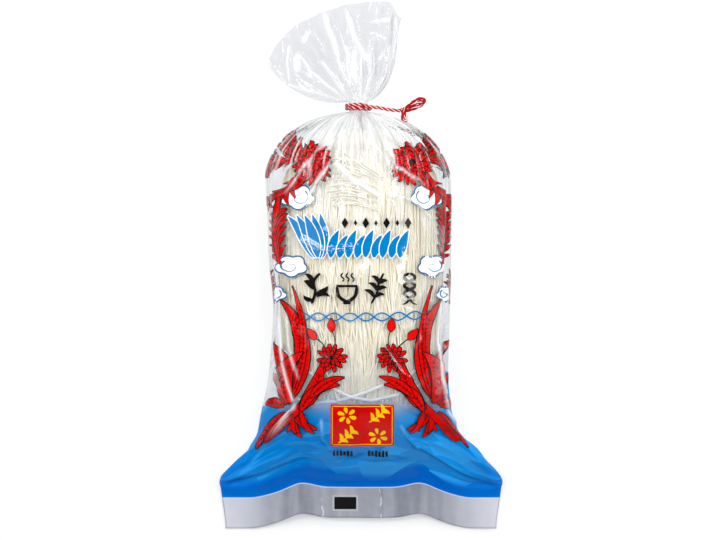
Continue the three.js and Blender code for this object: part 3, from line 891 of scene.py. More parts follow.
def noodle_material(look):
    """Dry bean starch: whitish and slightly clear, with warmer and greyer strands among the pale ones."""
    shader = material_shader("glass_noodle")
    tint = shader.number_of("tint")
    run = shader.number_of("run")
    place = shader.place()
    patch = shader.noise(place, 34.0, 3.0)
    lengthwise = shader.node("ShaderNodeMapping", {}, {"Vector": place, "Scale": (150.0, 22.0, 60.0)})
    bands = shader.noise(lengthwise, 1.0, 2.0)
    speck = shader.noise(place, 420.0, 3.0)
    colour = shader.blend(tint, look.pale, look.warm)
    colour = shader.blend(0.6 * patch.ease(0.5, 0.74), colour, look.grey)
    colour = shader.blend(0.4 * bands.ease(0.54, 0.66), colour, rgb(230, 216, 182))
    low = 1 - (shader.axis(place, "Y") + 0.03 * (patch - 0.5)).ease(-0.01, 0.052)
    colour = shader.blend(0.45 * low, colour, look.warm)
    # painted shade: greyer towards the hank's sides
    outwards = shader.axis(place, "X").math("ABSOLUTE")
    colour = shader.blend(0.4 * outwards.ease(0.024, 0.043), colour, rgb(196, 190, 174))
    ripple = (run * 2.3 + 6.0 * tint).math("SINE") * 0.5 + 0.5
    colour = shader.blend(0.3 * ripple * speck, colour, rgb(255, 253, 246))
    surface = shader.principled(
        Base_Color=colour,
        Roughness=0.32 + 0.2 * speck,
        Subsurface_Weight=0.25,
        Subsurface_Radius=(0.002, 0.0017, 0.0012),
        Subsurface_Scale=0.5,
        Normal=shader.bump(speck, 0.25, 0.0002),
    )
    return shader.finish(surface)


def core_material(look):
    """The strands deeper in the hank, which show only as a warm shade between the others."""
    shader = material_shader("inner_noodles")
    stretched = {"Vector": shader.place(), "Scale": (900.0, 26.0, 900.0)}
    lines = shader.noise(shader.node("ShaderNodeMapping", {}, stretched), 1.0, 3.0)
    colour = shader.blend(lines.ease(0.3, 0.7), look.deep, look.warm)
    normal = shader.bump(lines, 0.6, 0.0006)
    return shader.finish(shader.principled(Base_Color=colour, Roughness=0.6, Normal=normal))


def thread_material(name, colour, dark, roughness):
    """Spun thread: fine fibres across it, with painted shade where they turn in."""
    shader = material_shader(name)
    run = shader.number_of("run")
    fuzz = shader.noise(shader.place(), 900.0, 3.0)
    # the fibres' pattern: their bumps, and painted shade in the dark colour where they turn in
    ply = (run * 9.0 + 3.0 * fuzz).math("SINE") * 0.5 + 0.5
    surface = shader.principled(
        Base_Color=shader.blend(0.5 * ply, colour, dark),
        Roughness=roughness,
        Specular_IOR_Level=0.2,
        Normal=shader.bump(ply + fuzz, 0.5, 0.0002),
    )
    return shader.finish(surface)


# =====================================================================================================
# Strands, swept along their paths by geometry nodes
# =====================================================================================================
def sweep_tree():
    """A tree that gives every path of a mesh's edges a round section."""
    tree = bpy.data.node_groups.new("sweep_strands", "GeometryNodeTree")
    inputs = (("Paths", "Geometry"), ("Strand Radius", "Float"), ("Sides", "Int"), ("Finish", "Material"))
    for name, kind in inputs:
        tree.interface.new_socket(name, in_out="INPUT", socket_type="NodeSocket" + kind)
    tree.interface.new_socket("Strands", in_out="OUTPUT", socket_type="NodeSocketGeometry")
    start, end = tree.nodes.new("NodeGroupInput"), tree.nodes.new("NodeGroupOutput")
    kinds = ("MeshToCurve", "InputNamedAttribute", "SetCurveRadius", "CurvePrimitiveCircle", "InputRadius")
    kinds += ("CurveToMesh", "SetShadeSmooth", "RealizeInstances", "SetMaterial")
    nodes = [tree.nodes.new("GeometryNode" + kind) for kind in kinds]
    curve, width, set_radius, section, radius, sweep, shade, real, finish = nodes
    width.data_type = "FLOAT"
    width.inputs["Name"].default_value = "width"
    sweep.inputs["Fill Caps"].default_value = True
    for source, out, target, into in (
        (start, "Paths", curve, "Mesh"),
        (curve, "Curve", set_radius, "Curve"),
        (width, "Attribute", set_radius, "Radius"),
        (start, "Strand Radius", section, "Radius"),
        (start, "Sides", section, "Resolution"),
        (set_radius, "Curve", sweep, "Curve"),
        (section, "Curve", sweep, "Profile Curve"),
        (radius, "Radius", sweep, "Scale"),
        (sweep, "Mesh", shade, "Geometry"),
        (shade, "Geometry", real, "Geometry"),
        (real, "Geometry", finish, "Geometry"),
        (start, "Finish", finish, "Material"),
        (finish, "Geometry", end, "Strands"),
    ):
        tree.links.new(source.outputs[out], target.inputs[into])
    return tree


def swept(name, paths, radius, sides, material, replaces):
    """Round strands of a radius in millimetres. Each path is its points, its tint and its width along it."""
    tree = bpy.data.node_groups.get("sweep_strands") or sweep_tree()
    points = np.concatenate([path for path, _, _ in paths])
    edges = []
    first = 0
    for path, _, _ in paths:
        i = np.arange(first, first + len(path) - 1)
        edges.append(np.stack([i, i + 1], 1))
        first += len(path)
    mesh = bpy.data.meshes.new(name + "_paths")
    mesh.from_pydata(to_frame(points).tolist(), np.concatenate(edges).tolist(), [])
    set_number(mesh, "tint", np.concatenate([np.full(len(p), tint) for p, tint, _ in paths]))
    set_number(mesh, "width", np.concatenate([np.broadcast_to(width, len(p)) for p, _, width in paths]))
    set_number(mesh, "run", np.concatenate([run_lengths(p) for p, _, _ in paths]))
    guide = linked(name + "_paths", mesh)
    modifier = guide.modifiers.new("Sweep", "NODES")
    modifier.node_group = tree
    values = {"Strand Radius": radius * MM, "Sides": sides, "Finish": material}
    for item in tree.interface.items_tree:
        if item.in_out == "INPUT" and item.name in values:
            modifier[item.identifier] = values[item.name]
    bpy.context.view_layer.update()
    made = bpy.data.meshes.new_from_object(guide.evaluated_get(bpy.context.evaluated_depsgraph_get()))
    made.name = name
    bpy.data.objects.remove(guide)
    bpy.data.meshes.remove(mesh)
    return finish_piece(name, made, replaces)


# =====================================================================================================
# The noodles
# =====================================================================================================
HANK_START = 65.0  # the cut ends, along the bag
HANK_SHOULDER = 174.0
HANK_RISE = 29.0  # of its looped top above that
HANK_HALF_WIDTH = 41.5
HANK_OFFSET = -0.3
HANK_CLEARANCE = 3.0  # under the film of the front
HANK_SQUARENESS = 2.3  # of its section, as for the bag's
HANK_FLATNESS = 0.66
HANK_SAMPLES = 200
HANK_TOP_RADIUS = 18.0  # of a strand that goes over the top
HANK_TOP_LENGTH = 57.0
CORE_DEPTH = 1.75  # under the hank's outer strands
THREAD_SAMPLES = 60


def hank_front(along):
    return MIDDLE_HEIGHT(along) + FRONT_RISE(along) - HANK_CLEARANCE


def hank_back(along):
    return np.maximum(MIDDLE_HEIGHT(along) - BACK_DROP(along), 0) + 1.6


def hank_half_width(along):
    return HANK_HALF_WIDTH - 1.7 * (1 - smooth(100, 140, along)) - 4.5 * (1 - smooth(66, 98, along))


def hank_point(share, along, depth, over):
    """A point of the hank: share runs across it from left to right, depth goes inwards, and over runs from
    0 on the front, through 90 degrees on its looped top, to 180 degrees on its back."""
    x_part, z_part, _ = half_section(1, 1, HANK_FLATNESS, HANK_SQUARENESS, HANK_SAMPLES)
    shares = np.linspace(0, 1, HANK_SAMPLES + 1)
    across = np.interp(share, shares, x_part)
    high = np.interp(share, shares, z_part / HANK_FLATNESS)
    front, back = hank_front(along), hank_back(along)
    middle, half = (front + back) / 2, (front - back) / 2
    rise = (HANK_RISE - depth) * np.sqrt(np.clip(1 - across**2, 0, 1)) * np.sin(over)
    x = HANK_OFFSET + (hank_half_width(along) - depth) * across * (1 - 0.12 * np.sin(over))
    z = middle + (half - depth) * high * np.cos(over)
    return np.stack([x, along + rise, z], -1)


def hank_strand(rng, share, depth, lock, locks, sway):
    """One strand: up the front, over the top and down the back, in its lock and with its own sway."""
    start = HANK_START + rng.uniform(-1, 7) + 5 * abs(share - 0.5)
    end = HANK_START + rng.uniform(-1, 7)
    leg = np.arange(start, HANK_SHOULDER, 4.2)
    turn = np.linspace(0, math.pi, 20)[1:-1]
    back = np.arange(HANK_SHOULDER, end, -5.5)
    along = np.concatenate([leg, np.full(len(turn), HANK_SHOULDER), back])
    over = np.concatenate([np.zeros(len(leg)), turn, np.full(len(back), math.pi)])
    over_top = HANK_SHOULDER + turn * HANK_TOP_RADIUS
    down_back = HANK_SHOULDER + HANK_TOP_LENGTH + (HANK_SHOULDER - back)
    length = np.concatenate([leg, over_top, down_back])
    drift = sway * np.sin(length / rng.uniform(26, 60) + rng.uniform(0, 6.3))
    loosened = 1 + 2.2 * smooth(150, 84, along) * np.cos(over / 2)
    wave = 0.003 * loosened * np.sin(length / rng.uniform(5, 12) + rng.uniform(0, 6.3))
    lock_wave = 0.004 * np.sin(length / (23 + 5 * (lock % 4)) + 2.4 * lock)
    close = 0.10 * (0.5 + 0.5 * np.sin(length / 31 + 1.7 * lock))
    centre = (lock + 0.5) / locks
    share = np.clip(share + drift + wave + lock_wave + close * (centre - share), 0.004, 0.996)
    dip = 0.2 * np.sin(length / rng.uniform(9, 20) + rng.uniform(0, 6.3))
    dip = dip + 0.2 * np.sin(length / 27 + 2.1 * lock)
    splay = smooth(HANK_START + 16, HANK_START, along)
    dip = np.clip(depth + dip * (0.5 + 0.5 * loosened), 0.05, 6) + splay * rng.uniform(0, 4)
    return hank_point(share, along, dip, over)


def hank_paths(look):
    """The strands of the hank in three layers, from the outer one inwards."""
    rng = np.random.default_rng(4)
    paths = []
    layers = [(0.45, look.strands, 23), (0.95, look.strands, 31), (1.4, look.strands // 2, 19)]
    for layer, (depth, count, locks) in enumerate(layers):
        for n in range(count):
            share = (n + rng.uniform(0.1, 0.9)) / count
            lock = min(locks - 1, int(share * locks))
            loose = rng.random() < 0.12
            sway = rng.uniform(0.02, 0.05) if loose else rng.uniform(0, 0.008)
            lift = -0.5 if loose and layer == 0 else 0.0
            tint = np.clip(rng.normal(0.3 + 0.12 * layer, 0.2) + 0.15 * math.sin(2.7 * lock), 0, 1)
            bold = rng.random() < 0.14
            tint = 0.0 if bold else tint
            width = rng.uniform(1.25, 1.5) if bold else rng.uniform(0.85, 1.15)
            paths.append((hank_strand(rng, share, depth + lift, lock, locks, sway), tint, width))
    return paths


def crossing_paths():
    """Loose strands that lie across the hank near its top, and some that wander over it lower down."""
    rng = np.random.default_rng(9)
    paths = []
    for n in range(16):
        t = np.linspace(0, 1, 20)
        arc, pair = divmod(n, 2)
        high = 187.0 - 3.1 * arc - 1.0 * pair + rng.uniform(-0.3, 0.3)
        x = mix(-18 + rng.uniform(-1, 3), 2 + 1.1 * arc + rng.uniform(-4, 4), t)
        y = high + 2.4 * np.sin(math.pi * t**0.8) - 2.2 * t**2
        depth = -0.9 + 0.2 * pair + 3.0 * np.abs(2 * t - 1) ** 5
        paths.append(laid_on_front(x, y, depth, rng))
    for n in range(4):
        t = np.linspace(0, 1, 20)
        x = mix(-15.0, 10.5, t) + 0.9 * n
        y = mix(191.0, 175.5, t) + 0.8 * n + 0.8 * np.sin(math.pi * t)
        paths.append(laid_on_front(x, y, -0.6 + 2.6 * np.abs(2 * t - 1) ** 5, rng))
    for n in range(64):
        t = np.linspace(0, 1, 24)
        low = n >= 24
        lean = rng.uniform(-13, 13) if low else rng.uniform(-9, 9)
        x = rng.uniform(-31, 31) + t * lean + rng.uniform(0.4, 1.8) * np.sin(t * rng.uniform(3, 8))
        y = (rng.uniform(62, 88) if low else rng.uniform(66, 130)) + t * rng.uniform(30, 66)
        strand, tint, width = laid_on_front(x, y, -0.2 + 2.6 * np.abs(2 * t - 1) ** 5, rng)
        paths.append((strand, tint * (0.2 if low else 1), width * (1.25 if low else 1)))
    return paths


def laid_on_front(x, y, depth, rng):
    """A strand over the front of the hank, with its tint and width."""
    reach = (x - HANK_OFFSET) / hank_half_width(np.minimum(y, HANK_SHOULDER))
    top = np.clip((y - HANK_SHOULDER) / (HANK_RISE * np.sqrt(np.clip(1 - reach**2, 0.05, 1))), 0, 0.98)
    over = np.arcsin(top)
    along = np.minimum(y, HANK_SHOULDER)
    front, back = hank_front(along), hank_back(along)
    high = (1 - np.clip(np.abs(reach), 0, 0.99) ** HANK_SQUARENESS) ** (1 / HANK_SQUARENESS)
    z = (front + back) / 2 + (front - back) / 2 * high * np.cos(over) - depth + 0.5
    return np.stack([x, y, z], 1), float(rng.uniform(0.02, 0.4)), rng.uniform(0.8, 1.0)


def core_piece(material):
    """The closed form inside the strands."""
    columns = 96
    rings = []
    stations = [(a, 0.0) for a in np.linspace(HANK_START + 6, HANK_SHOULDER, 26)]
    stations += [(HANK_SHOULDER, math.sin(t)) for t in np.linspace(0, math.pi / 2, 14)[1:-1]]
    for along, top in stations:
        shrink = math.sqrt(1 - top * top)
        front, back = float(hank_front(along)), float(hank_back(along))
        x, z, _ = half_section(1, 1, HANK_FLATNESS, HANK_SQUARENESS, columns // 2)
        across = np.concatenate([x[:-1], x[::-1][:-1]])
        high = np.concatenate([z[:-1], -z[::-1][:-1]]) / HANK_FLATNESS
        width = (float(hank_half_width(along)) - CORE_DEPTH) * shrink
        rise = (HANK_RISE - CORE_DEPTH) * top
        points = np.stack(
            [
                HANK_OFFSET + width * across,
                np.full(columns, along + rise),
                (front + back) / 2 + ((front - back) / 2 - CORE_DEPTH) * high * shrink,
            ],
            1,
        )
        rings.append(points)
    points = np.concatenate(rings)
    faces = ring_faces(len(rings), columns).tolist()
    low, high = points[:columns].mean(0), points[-columns:].mean(0) + [0, 0.6, 0]
    points = np.concatenate([points, [low, high]])
    a, b = len(points) - 2, len(points) - 1
    last = (len(rings) - 1) * columns
    for i in range(columns):
        k = (i + 1) % columns
        faces.append([a, k, i])
        faces.append([b, last + i, last + k])
    return new_piece("noodle_core", points, faces, material)


def string_paths(film):
    """Two white threads tied round the hank near its cut ends, which cross on its front."""
    paths = []
    marks = [
        [(284, 352), (300, 367), (312, 376), (330, 388), (349, 398), (372, 402), (398, 396), (425, 384)],
        [(284, 396), (310, 404), (335, 403), (352, 398), (372, 391), (396, 382), (416, 372), (432, 362)],
    ]
    for points in marks:
        steps = np.linspace(0, len(points) - 1, THREAD_SAMPLES)
        px, py = (np.interp(steps, range(len(points)), marked) for marked in zip(*points))
        turn, along = film.seen_at(px, py)
        front = film.place(turn, along, np.full(THREAD_SAMPLES, 1.5))
        front[:, 2] -= 0.9 + 0.5 * np.sin(np.linspace(0, 9, THREAD_SAMPLES))
        angle = np.linspace(0, math.pi, 40)[1:-1]
        middle, half = (front[-1] + front[0]) / 2, (front[-1] - front[0]) / 2
        sag = [0, 0, 3.0 - middle[2]]
        under = middle + np.outer(np.cos(angle), half) + np.outer(np.sin(angle) ** 0.7, sag)
        under[:, 0] += 6 * np.sin(angle) * np.cos(angle)
        loop = np.concatenate([front, under, front[:1]])
        paths.append((loop, 0.2, 1.0))
    return paths


# =====================================================================================================
# The film
# =====================================================================================================
FILM_COLUMNS = 336


def make_film_form():
    """The film's form, with its rows closer together where it is creased."""
    along = np.concatenate(
        [
            np.linspace(0, 16, 17)[:-1],
            np.linspace(16, 66, 56)[:-1],
            np.linspace(66, SHOULDER_START, 106)[:-1],
            SHOULDER_START + (NECK_START - SHOULDER_START) * np.sin(np.linspace(0, math.pi / 2, 48)),
        ]
    )
    shares = np.concatenate([np.linspace(0, 0.12, 9)[:-1], np.linspace(0.12, 1, 46)])
    return Film(FILM_COLUMNS, along, shares)


NECK_ROWS = 6


def film_piece(film, material):
    """The whole bag in one sheet: closed at its seal, gathered at the neck and open at the mouth."""
    columns = film.columns
    turn = film.turn
    low, high = film.body[-1], film.fan[0]
    neck = []
    for share in np.linspace(0, 1, NECK_ROWS + 2)[1:-1]:
        ring = mix(low, high, share)
        inwards = 0.45 * math.sin(math.pi * share) * (0.5 + 0.5 * np.sin(2 * np.pi * SHOULDER_PLEATS * turn))
        centre = ring.mean(0)
        neck.append(centre + (ring - centre) * (1 - inwards / NECK_RADIUS)[:, None])
    points = np.concatenate([film.body.reshape(-1, 3), np.concatenate(neck), film.fan.reshape(-1, 3)])
    rows = len(points) // columns
    faces = ring_faces(rows, columns).tolist()
    for i in range(columns // 2):
        face = [i, (columns - i) % columns, columns - i - 1, i + 1]
        faces.append(list(dict.fromkeys(face)))
    piece = new_piece("film", points, faces, material)
    neck_along = np.linspace(NECK_START, NECK_END, NECK_ROWS + 2)[1:-1]
    stations = np.concatenate([film.along, neck_along, film.stations[len(film.along) :]])
    flat_x = np.concatenate([film.plain.reshape(-1, 3)[:, 0], np.zeros((rows - len(film.along)) * columns)])
    set_number(piece.data, "along", np.repeat(stations, columns))
    set_number(piece.data, "across", flat_x)
    set_number(piece.data, "turn", np.tile(turn, rows))
    # The mask of the painted pale highlights, kept as a number on the film's points.
    pressed = [film.pressed.ravel(), np.zeros(NECK_ROWS * columns), film.mouth_glints.ravel()]
    set_number(piece.data, "pressed", np.concatenate(pressed))
    return piece


# =====================================================================================================
# The print, which is drawn in the picture's steps and laid on the film
# =====================================================================================================
MIRROR_LINE = 362.0
INK_LIFT = 0.06
LAYER_STEP = 0.007
BARS_AT = 454.5  # down the picture, the small bars under the patch
# How finely a stroke is divided along and across, and how finely a patch is from its centre outwards.
ALONG_STEP = 1.1
ACROSS_STEP = 1.3
RING_STEP = 1.2


def bent(a, b, bend, count=24):
    """A path from a to b that bows out by a share of its length."""
    a, b = np.array(a, float), np.array(b, float)
    side = np.array([-(b - a)[1], (b - a)[0]])
    t = np.linspace(0, 1, count)[:, None]
    return a + (b - a) * t + side * bend * 4 * t * (1 - t)


def curve(*points, count=60):
    """A smooth path through points."""
    p = np.array(points, float)
    p = np.concatenate([[2 * p[0] - p[1]], p, [2 * p[-1] - p[-2]]])
    path = []
    pieces = len(p) - 3
    for n in range(pieces):
        t = np.linspace(0, 1, max(4, count // pieces), endpoint=n == pieces - 1)[:, None]
        a, b, c, d = p[n : n + 4]
        square, cube = 2 * a - 5 * b + 4 * c - d, 3 * b - a - 3 * c + d
        path.append(0.5 * (2 * b + (c - a) * t + square * t**2 + cube * t**3))
    return np.concatenate(path)


def leaf_width(t):
    return np.sin(np.pi * t**0.8) ** 0.8


def petal_width(t):
    return np.clip(t, 0, 1) ** 0.5 * np.sqrt(np.clip(1 - t**5, 0, 1))


def even_width(t):
    return np.sqrt(np.clip(1 - np.abs(2 * t - 1) ** 14, 0, 1))


def taper_width(t):
    return 1 - 0.7 * t


class Print:
    """The artwork as flat shapes by ink. Each shape of a motif lies a little above the one before it."""

    def __init__(self, film):
        self.film = film
        self.shapes = {}
        self.flip = False
        self.level = 0

    def motif(self):
        """Starts a motif, whose shapes stack up from the bottom again."""
        self.level = 0

    def add(self, ink, drawn, faces):
        px = 2 * MIRROR_LINE - drawn[:, 0] if self.flip else drawn[:, 0].copy()
        turn, along = self.film.seen_at(px, drawn[:, 1].copy())
        a, b, c = (np.stack([turn[faces[:, k]] * FILM_GIRTH, along[faces[:, k]]], 1) for k in range(3))
        turned = (b - a)[:, 0] * (c - a)[:, 1] - (b - a)[:, 1] * (c - a)[:, 0]
        if turned.sum() < 0:
            faces = faces[:, ::-1]
        lift = INK_LIFT + LAYER_STEP * self.level
        points = self.film.place(turn, along, np.full(len(turn), -lift))
        self.shapes.setdefault(ink, []).append((points, faces, turn, along))
        self.level += 1

    def ribbon(self, ink, path, width, profile=even_width, grow=0.0, start=0.0, end=1.0):
        """A stroke along a path. grow makes it larger all round, as for the outline under it."""
        steps = run_lengths(path)
        length = steps[-1] * (end - start)
        rows = max(4, int(length / ALONG_STEP) + 1)
        t = np.linspace(0, 1, rows)
        at = mix(start, end, t) * steps[-1]
        middle = np.stack([np.interp(at, steps, path[:, k]) for k in (0, 1)], 1)
        ahead = np.gradient(middle, axis=0)
        ahead /= np.maximum(np.linalg.norm(ahead, axis=1, keepdims=True), 1e-9)
        if grow:
            middle[0] -= ahead[0] * grow * 0.7
            middle[-1] += ahead[-1] * grow * 0.7
        side = np.stack([-ahead[:, 1], ahead[:, 0]], 1)
        half = np.maximum(width * profile(t) / 2, 0.08) + grow
        columns = max(2, int(2 * half.max() / ACROSS_STEP) + 2)
        across = np.linspace(-1, 1, columns)
        grid = middle[:, None] + side[:, None] * (half[:, None] * across)[..., None]
        self.add(ink, grid.reshape(-1, 2), strip_faces(rows, columns))

    def outlined(self, under, ink, path, width, profile=even_width, grow=0.7):
        """A stroke over a wider one of another ink."""
        self.ribbon(under, path, width, profile, grow)
        self.ribbon(ink, path, width, profile)

    def disc(self, ink, centre, outline, grow=0.0):
        """A patch round a centre. outline gives its reach in each direction, as points."""
        outline = np.asarray(outline, float)
        reach = np.linalg.norm(outline, axis=1)
        outline = outline * ((reach + grow) / reach)[:, None]
        rings = max(1, int((reach.max() + grow) / RING_STEP))
        shares = np.arange(1, rings + 1) / rings
        grid = np.asarray(centre) + shares[:, None, None] * outline
        count = len(outline)
        points = np.concatenate([[centre], grid.reshape(-1, 2)])
        i = np.arange(count)
        k = (i + 1) % count
        faces = [np.stack([np.zeros(count, int), 1 + i, 1 + k, 1 + k], 1)]
        for ring in range(rings - 1):
            a, b = 1 + ring * count, 1 + (ring + 1) * count
            faces.append(np.stack([a + i, b + i, b + k, a + k], 1))
        self.add(ink, points, np.concatenate(faces))

    def pieces(self, materials):
        for ink, shapes in self.shapes.items():
            first = 0
            faces = []
            for shape_points, shape_faces, _, _ in shapes:
                faces += [list(dict.fromkeys(face)) for face in (shape_faces + first).tolist()]
                first += len(shape_points)
            points, turn, along = (np.concatenate([shape[k] for shape in shapes]) for k in (0, 2, 3))
            piece = new_piece("print_" + ink, points, faces, materials[ink])
            set_number(piece.data, "turn", turn)
            set_number(piece.data, "along", along)
            # the painted highlights' mask, so the ink is painted pale where the film under it is
            set_number(piece.data, "pressed", self.film.between(self.film.pressed, turn, along))

    # ---- Motifs
    def leaf(self, base, tip, width, bend=0.0, profile=leaf_width, vein=True):
        path = bent(base, tip, bend)
        self.outlined("black", "red", path, width, profile, min(1.1, 0.45 + 0.06 * width))
        if not vein:
            return
        self.ribbon("dark", path, 1.0, taper_width, start=0.1, end=0.85)
        length = np.linalg.norm(path[-1] - path[0])
        for t in np.arange(0.12, 0.8, 4.2 / length):
            n = int(t * (len(path) - 1))
            at, ahead = path[n], path[n + 1] - path[n]
            ahead = ahead / np.linalg.norm(ahead)
            half = 0.42 * width * profile(t)
            for side in (-1, 1):
                out = side * np.array([-ahead[1], ahead[0]])
                branch = bent(at, at + half * (out + 0.9 * ahead), -0.1 * side, 6)
                self.ribbon("dark", branch, 0.75, taper_width)

    def blossom(self, centre, radius, petals, seed=0, squeeze=1.0, shape=petal_width):
        """A many-petalled flower, from its outer petals to its centre."""
        rng = np.random.default_rng(seed)
        centre = np.array(centre, float)
        for reach, part, width in ((1.0, 1.0, 0.30), (0.74, 0.8, 0.27), (0.48, 0.6, 0.24)):
            count = int(petals * part)
            for n in range(count):
                angle = 2 * math.pi * (n + rng.uniform(-0.2, 0.2)) / count + 3 * reach
                far = radius * reach * rng.uniform(0.9, 1.06)
                out = np.array([math.cos(angle), math.sin(angle) * squeeze])
                path = bent(centre + out * radius * 0.12, centre + out * far, rng.uniform(-0.12, 0.02))
                self.outlined("black", "red", path, radius * width, shape, 0.9)
                self.ribbon("black", path, 0.8, taper_width, start=0.2, end=0.8)
        angle = np.linspace(0, 2 * math.pi, 20)[:-1]
        ring = np.stack([np.cos(angle), np.sin(angle)], 1)
        self.disc("black", centre, ring * radius * 0.11)

    def feather_leaf(self, base, tip, width, bend, pairs):
        """A long leaf of pointed leaflets, set apart along one rib."""
        path = bent(base, tip, bend)
        self.ribbon("black", path, 3.2, taper_width)
        for n in range(pairs):
            t = 0.04 + 0.86 * n / pairs
            step = int(t * (len(path) - 1))
            at = path[step]
            ahead = path[step + 1] - at
            ahead /= np.linalg.norm(ahead)
            side = np.array([-ahead[1], ahead[0]])
            size = width * (0.7 + 0.5 * math.sin(math.pi * min(1, t + 0.12)))
            for sign in (-1, 1):
                end = at + size * (ahead * (1.25 + 0.2 * sign) + sign * side * 0.75)
                self.leaf(at, end, size * 0.3, -0.16 * sign, vein=False)
        self.ribbon("red", path, 1.8, taper_width)
        self.leaf(path[-5], np.array(tip) + (path[-1] - path[-4]) * 1.5, width * 0.34, vein=False)

    def cloud(self, centre, width, height, curl=1):
        """A small drawn cloud with a curled line in it."""
        centre = np.array(centre, float)
        angle = np.linspace(0, 2 * math.pi, 49)[:-1]
        scallop = 0.92 + 0.24 * np.abs(np.sin(2.5 * angle + 0.9)) + 0.06 * np.cos(2 * angle)
        outline = [width / 2 * scallop * np.cos(angle) * curl, height / 2 * scallop * np.sin(angle)]
        outline = np.stack(outline, 1)
        self.disc("white", centre, outline, grow=0.8)
        path = np.concatenate([outline, outline[:2]]) + centre
        self.ribbon("slate", path, 1.7)
        turn = np.linspace(-0.9, 5.0, 50)
        reach = 0.36 * (1 - (turn + 0.9) / 8)
        swirl = np.stack([width * reach * np.cos(turn) * curl, height * reach * np.sin(turn)], 1)
        swirl = centre + swirl + np.array([0.06 * width * curl, 0.02 * height])
        self.ribbon("slate", swirl, 1.5, taper_width)

    def bud(self, at, stalk_end, size):
        at, stalk_end = np.array(at, float), np.array(stalk_end, float)
        self.ribbon("black", bent(stalk_end, at, 0.12), 1.1)
        out = (at - stalk_end) / np.linalg.norm(at - stalk_end)
        self.leaf(at - out * 1.5, at + out * size * 1.7, size, vein=False)


def draw_print(film):
    """All the artwork: blossoms, leaves, clouds, a fan and a row of blades, small signs and a patch."""
    art = Print(film)
    for flip in (False, True):
        art.flip = flip
        art.motif()
        # upper blossom, its leaves down the side
        art.feather_leaf((298, 172), (258, 204), 12, -0.14, 6)
        art.feather_leaf((298, 160), (260, 172), 12, 0.12, 6)
        art.feather_leaf((303, 154), (284, 136), 10, 0.08, 4)
        art.leaf((300, 158), (274, 146), 8, 0.12)
        art.leaf((306, 166), (292, 190), 8, -0.1)
        art.blossom((313, 163), 21.5, 19, 3, shape=leaf_width)
        art.motif()
        art.feather_leaf((282, 264), (279, 208), 12.5, -0.06, 7)
        art.motif()
        art.feather_leaf((268, 304), (263, 274), 9, 0.06, 4)
        art.motif()
        art.cloud((297, 197), 28, 23)
        art.cloud((292, 266), 25, 20, -1)
        art.cloud((276, 294), 20, 15)
        # lower spray
        art.motif()
        for base, tip, width, bend in (
            ((282, 414), (256, 448), 9, 0.05),
            ((285, 412), (262, 428), 9, -0.1),
            ((284, 406), (264, 404), 9, 0.12),
            ((286, 404), (272, 374), 11, 0.12),
            ((288, 402), (270, 340), 13, 0.14),
            ((290, 400), (284, 300), 14, 0.16),
            ((292, 398), (293, 286), 6, 0.10),
            ((292, 402), (303, 352), 15, -0.22),
            ((296, 410), (318, 428), 7, 0.15),
            ((292, 412), (302, 436), 7, 0.1),
        ):
            art.leaf(base, tip, width, bend)
        for n in range(5):
            base, tip = (290 + 3 * n, 413 - n), (279 + 9 * n, 432 - 2 * (n % 2))
            art.leaf(base, tip, 4.5, 0.14 * (-1) ** n, vein=False)
        stem = curve((266, 440), (288, 418), (306, 400), (318, 378), (330, 360))
        art.outlined("black", "red", stem, 6.5)
        art.leaf((300, 408), (322, 362), 13, 0.10)
        art.leaf((302, 410), (340, 384), 9, -0.18)
        art.leaf((312, 396), (345, 376), 8, -0.1)
        art.bud((316, 338), (330, 356), 7)
        art.bud((333, 330), (334, 352), 7)
        art.blossom((333, 357), 14.5, 12, 8)
    art.flip = False

    # a fan of blades, and a row of slanted ones that lean away from it
    art.motif()
    fan = [bent((313 + 2.4 * k, 258), (287.5 + 8.2 * k, 216 - 0.6 * k), 0.05) for k in (0, 4, 1, 3, 2)]
    row = [bent((331 + 8.6 * n, 258), (339 + 8.6 * n, 230 + 5 * (n % 2)), -0.06) for n in range(9)]
    for width, blades in ((10.6, fan), (8.8, row)):
        for blade in blades:
            art.outlined("white", "blue", blade, width, leaf_width, 0.8)

    # a row of lozenges over it
    art.motif()
    for n in range(7):
        x = 345 + 10.4 * n
        tall = 5.6 if n % 2 == 0 else 3.2
        lozenge = [(tall * 0.62, 0), (0, tall), (-tall * 0.62, 0), (0, -tall)]
        sides = [np.linspace(lozenge[k], lozenge[(k + 1) % 4], 4, endpoint=False) for k in range(4)]
        art.disc("black", (x, 223), np.concatenate(sides))

    draw_signs(art)
    draw_patch(art)
    return art


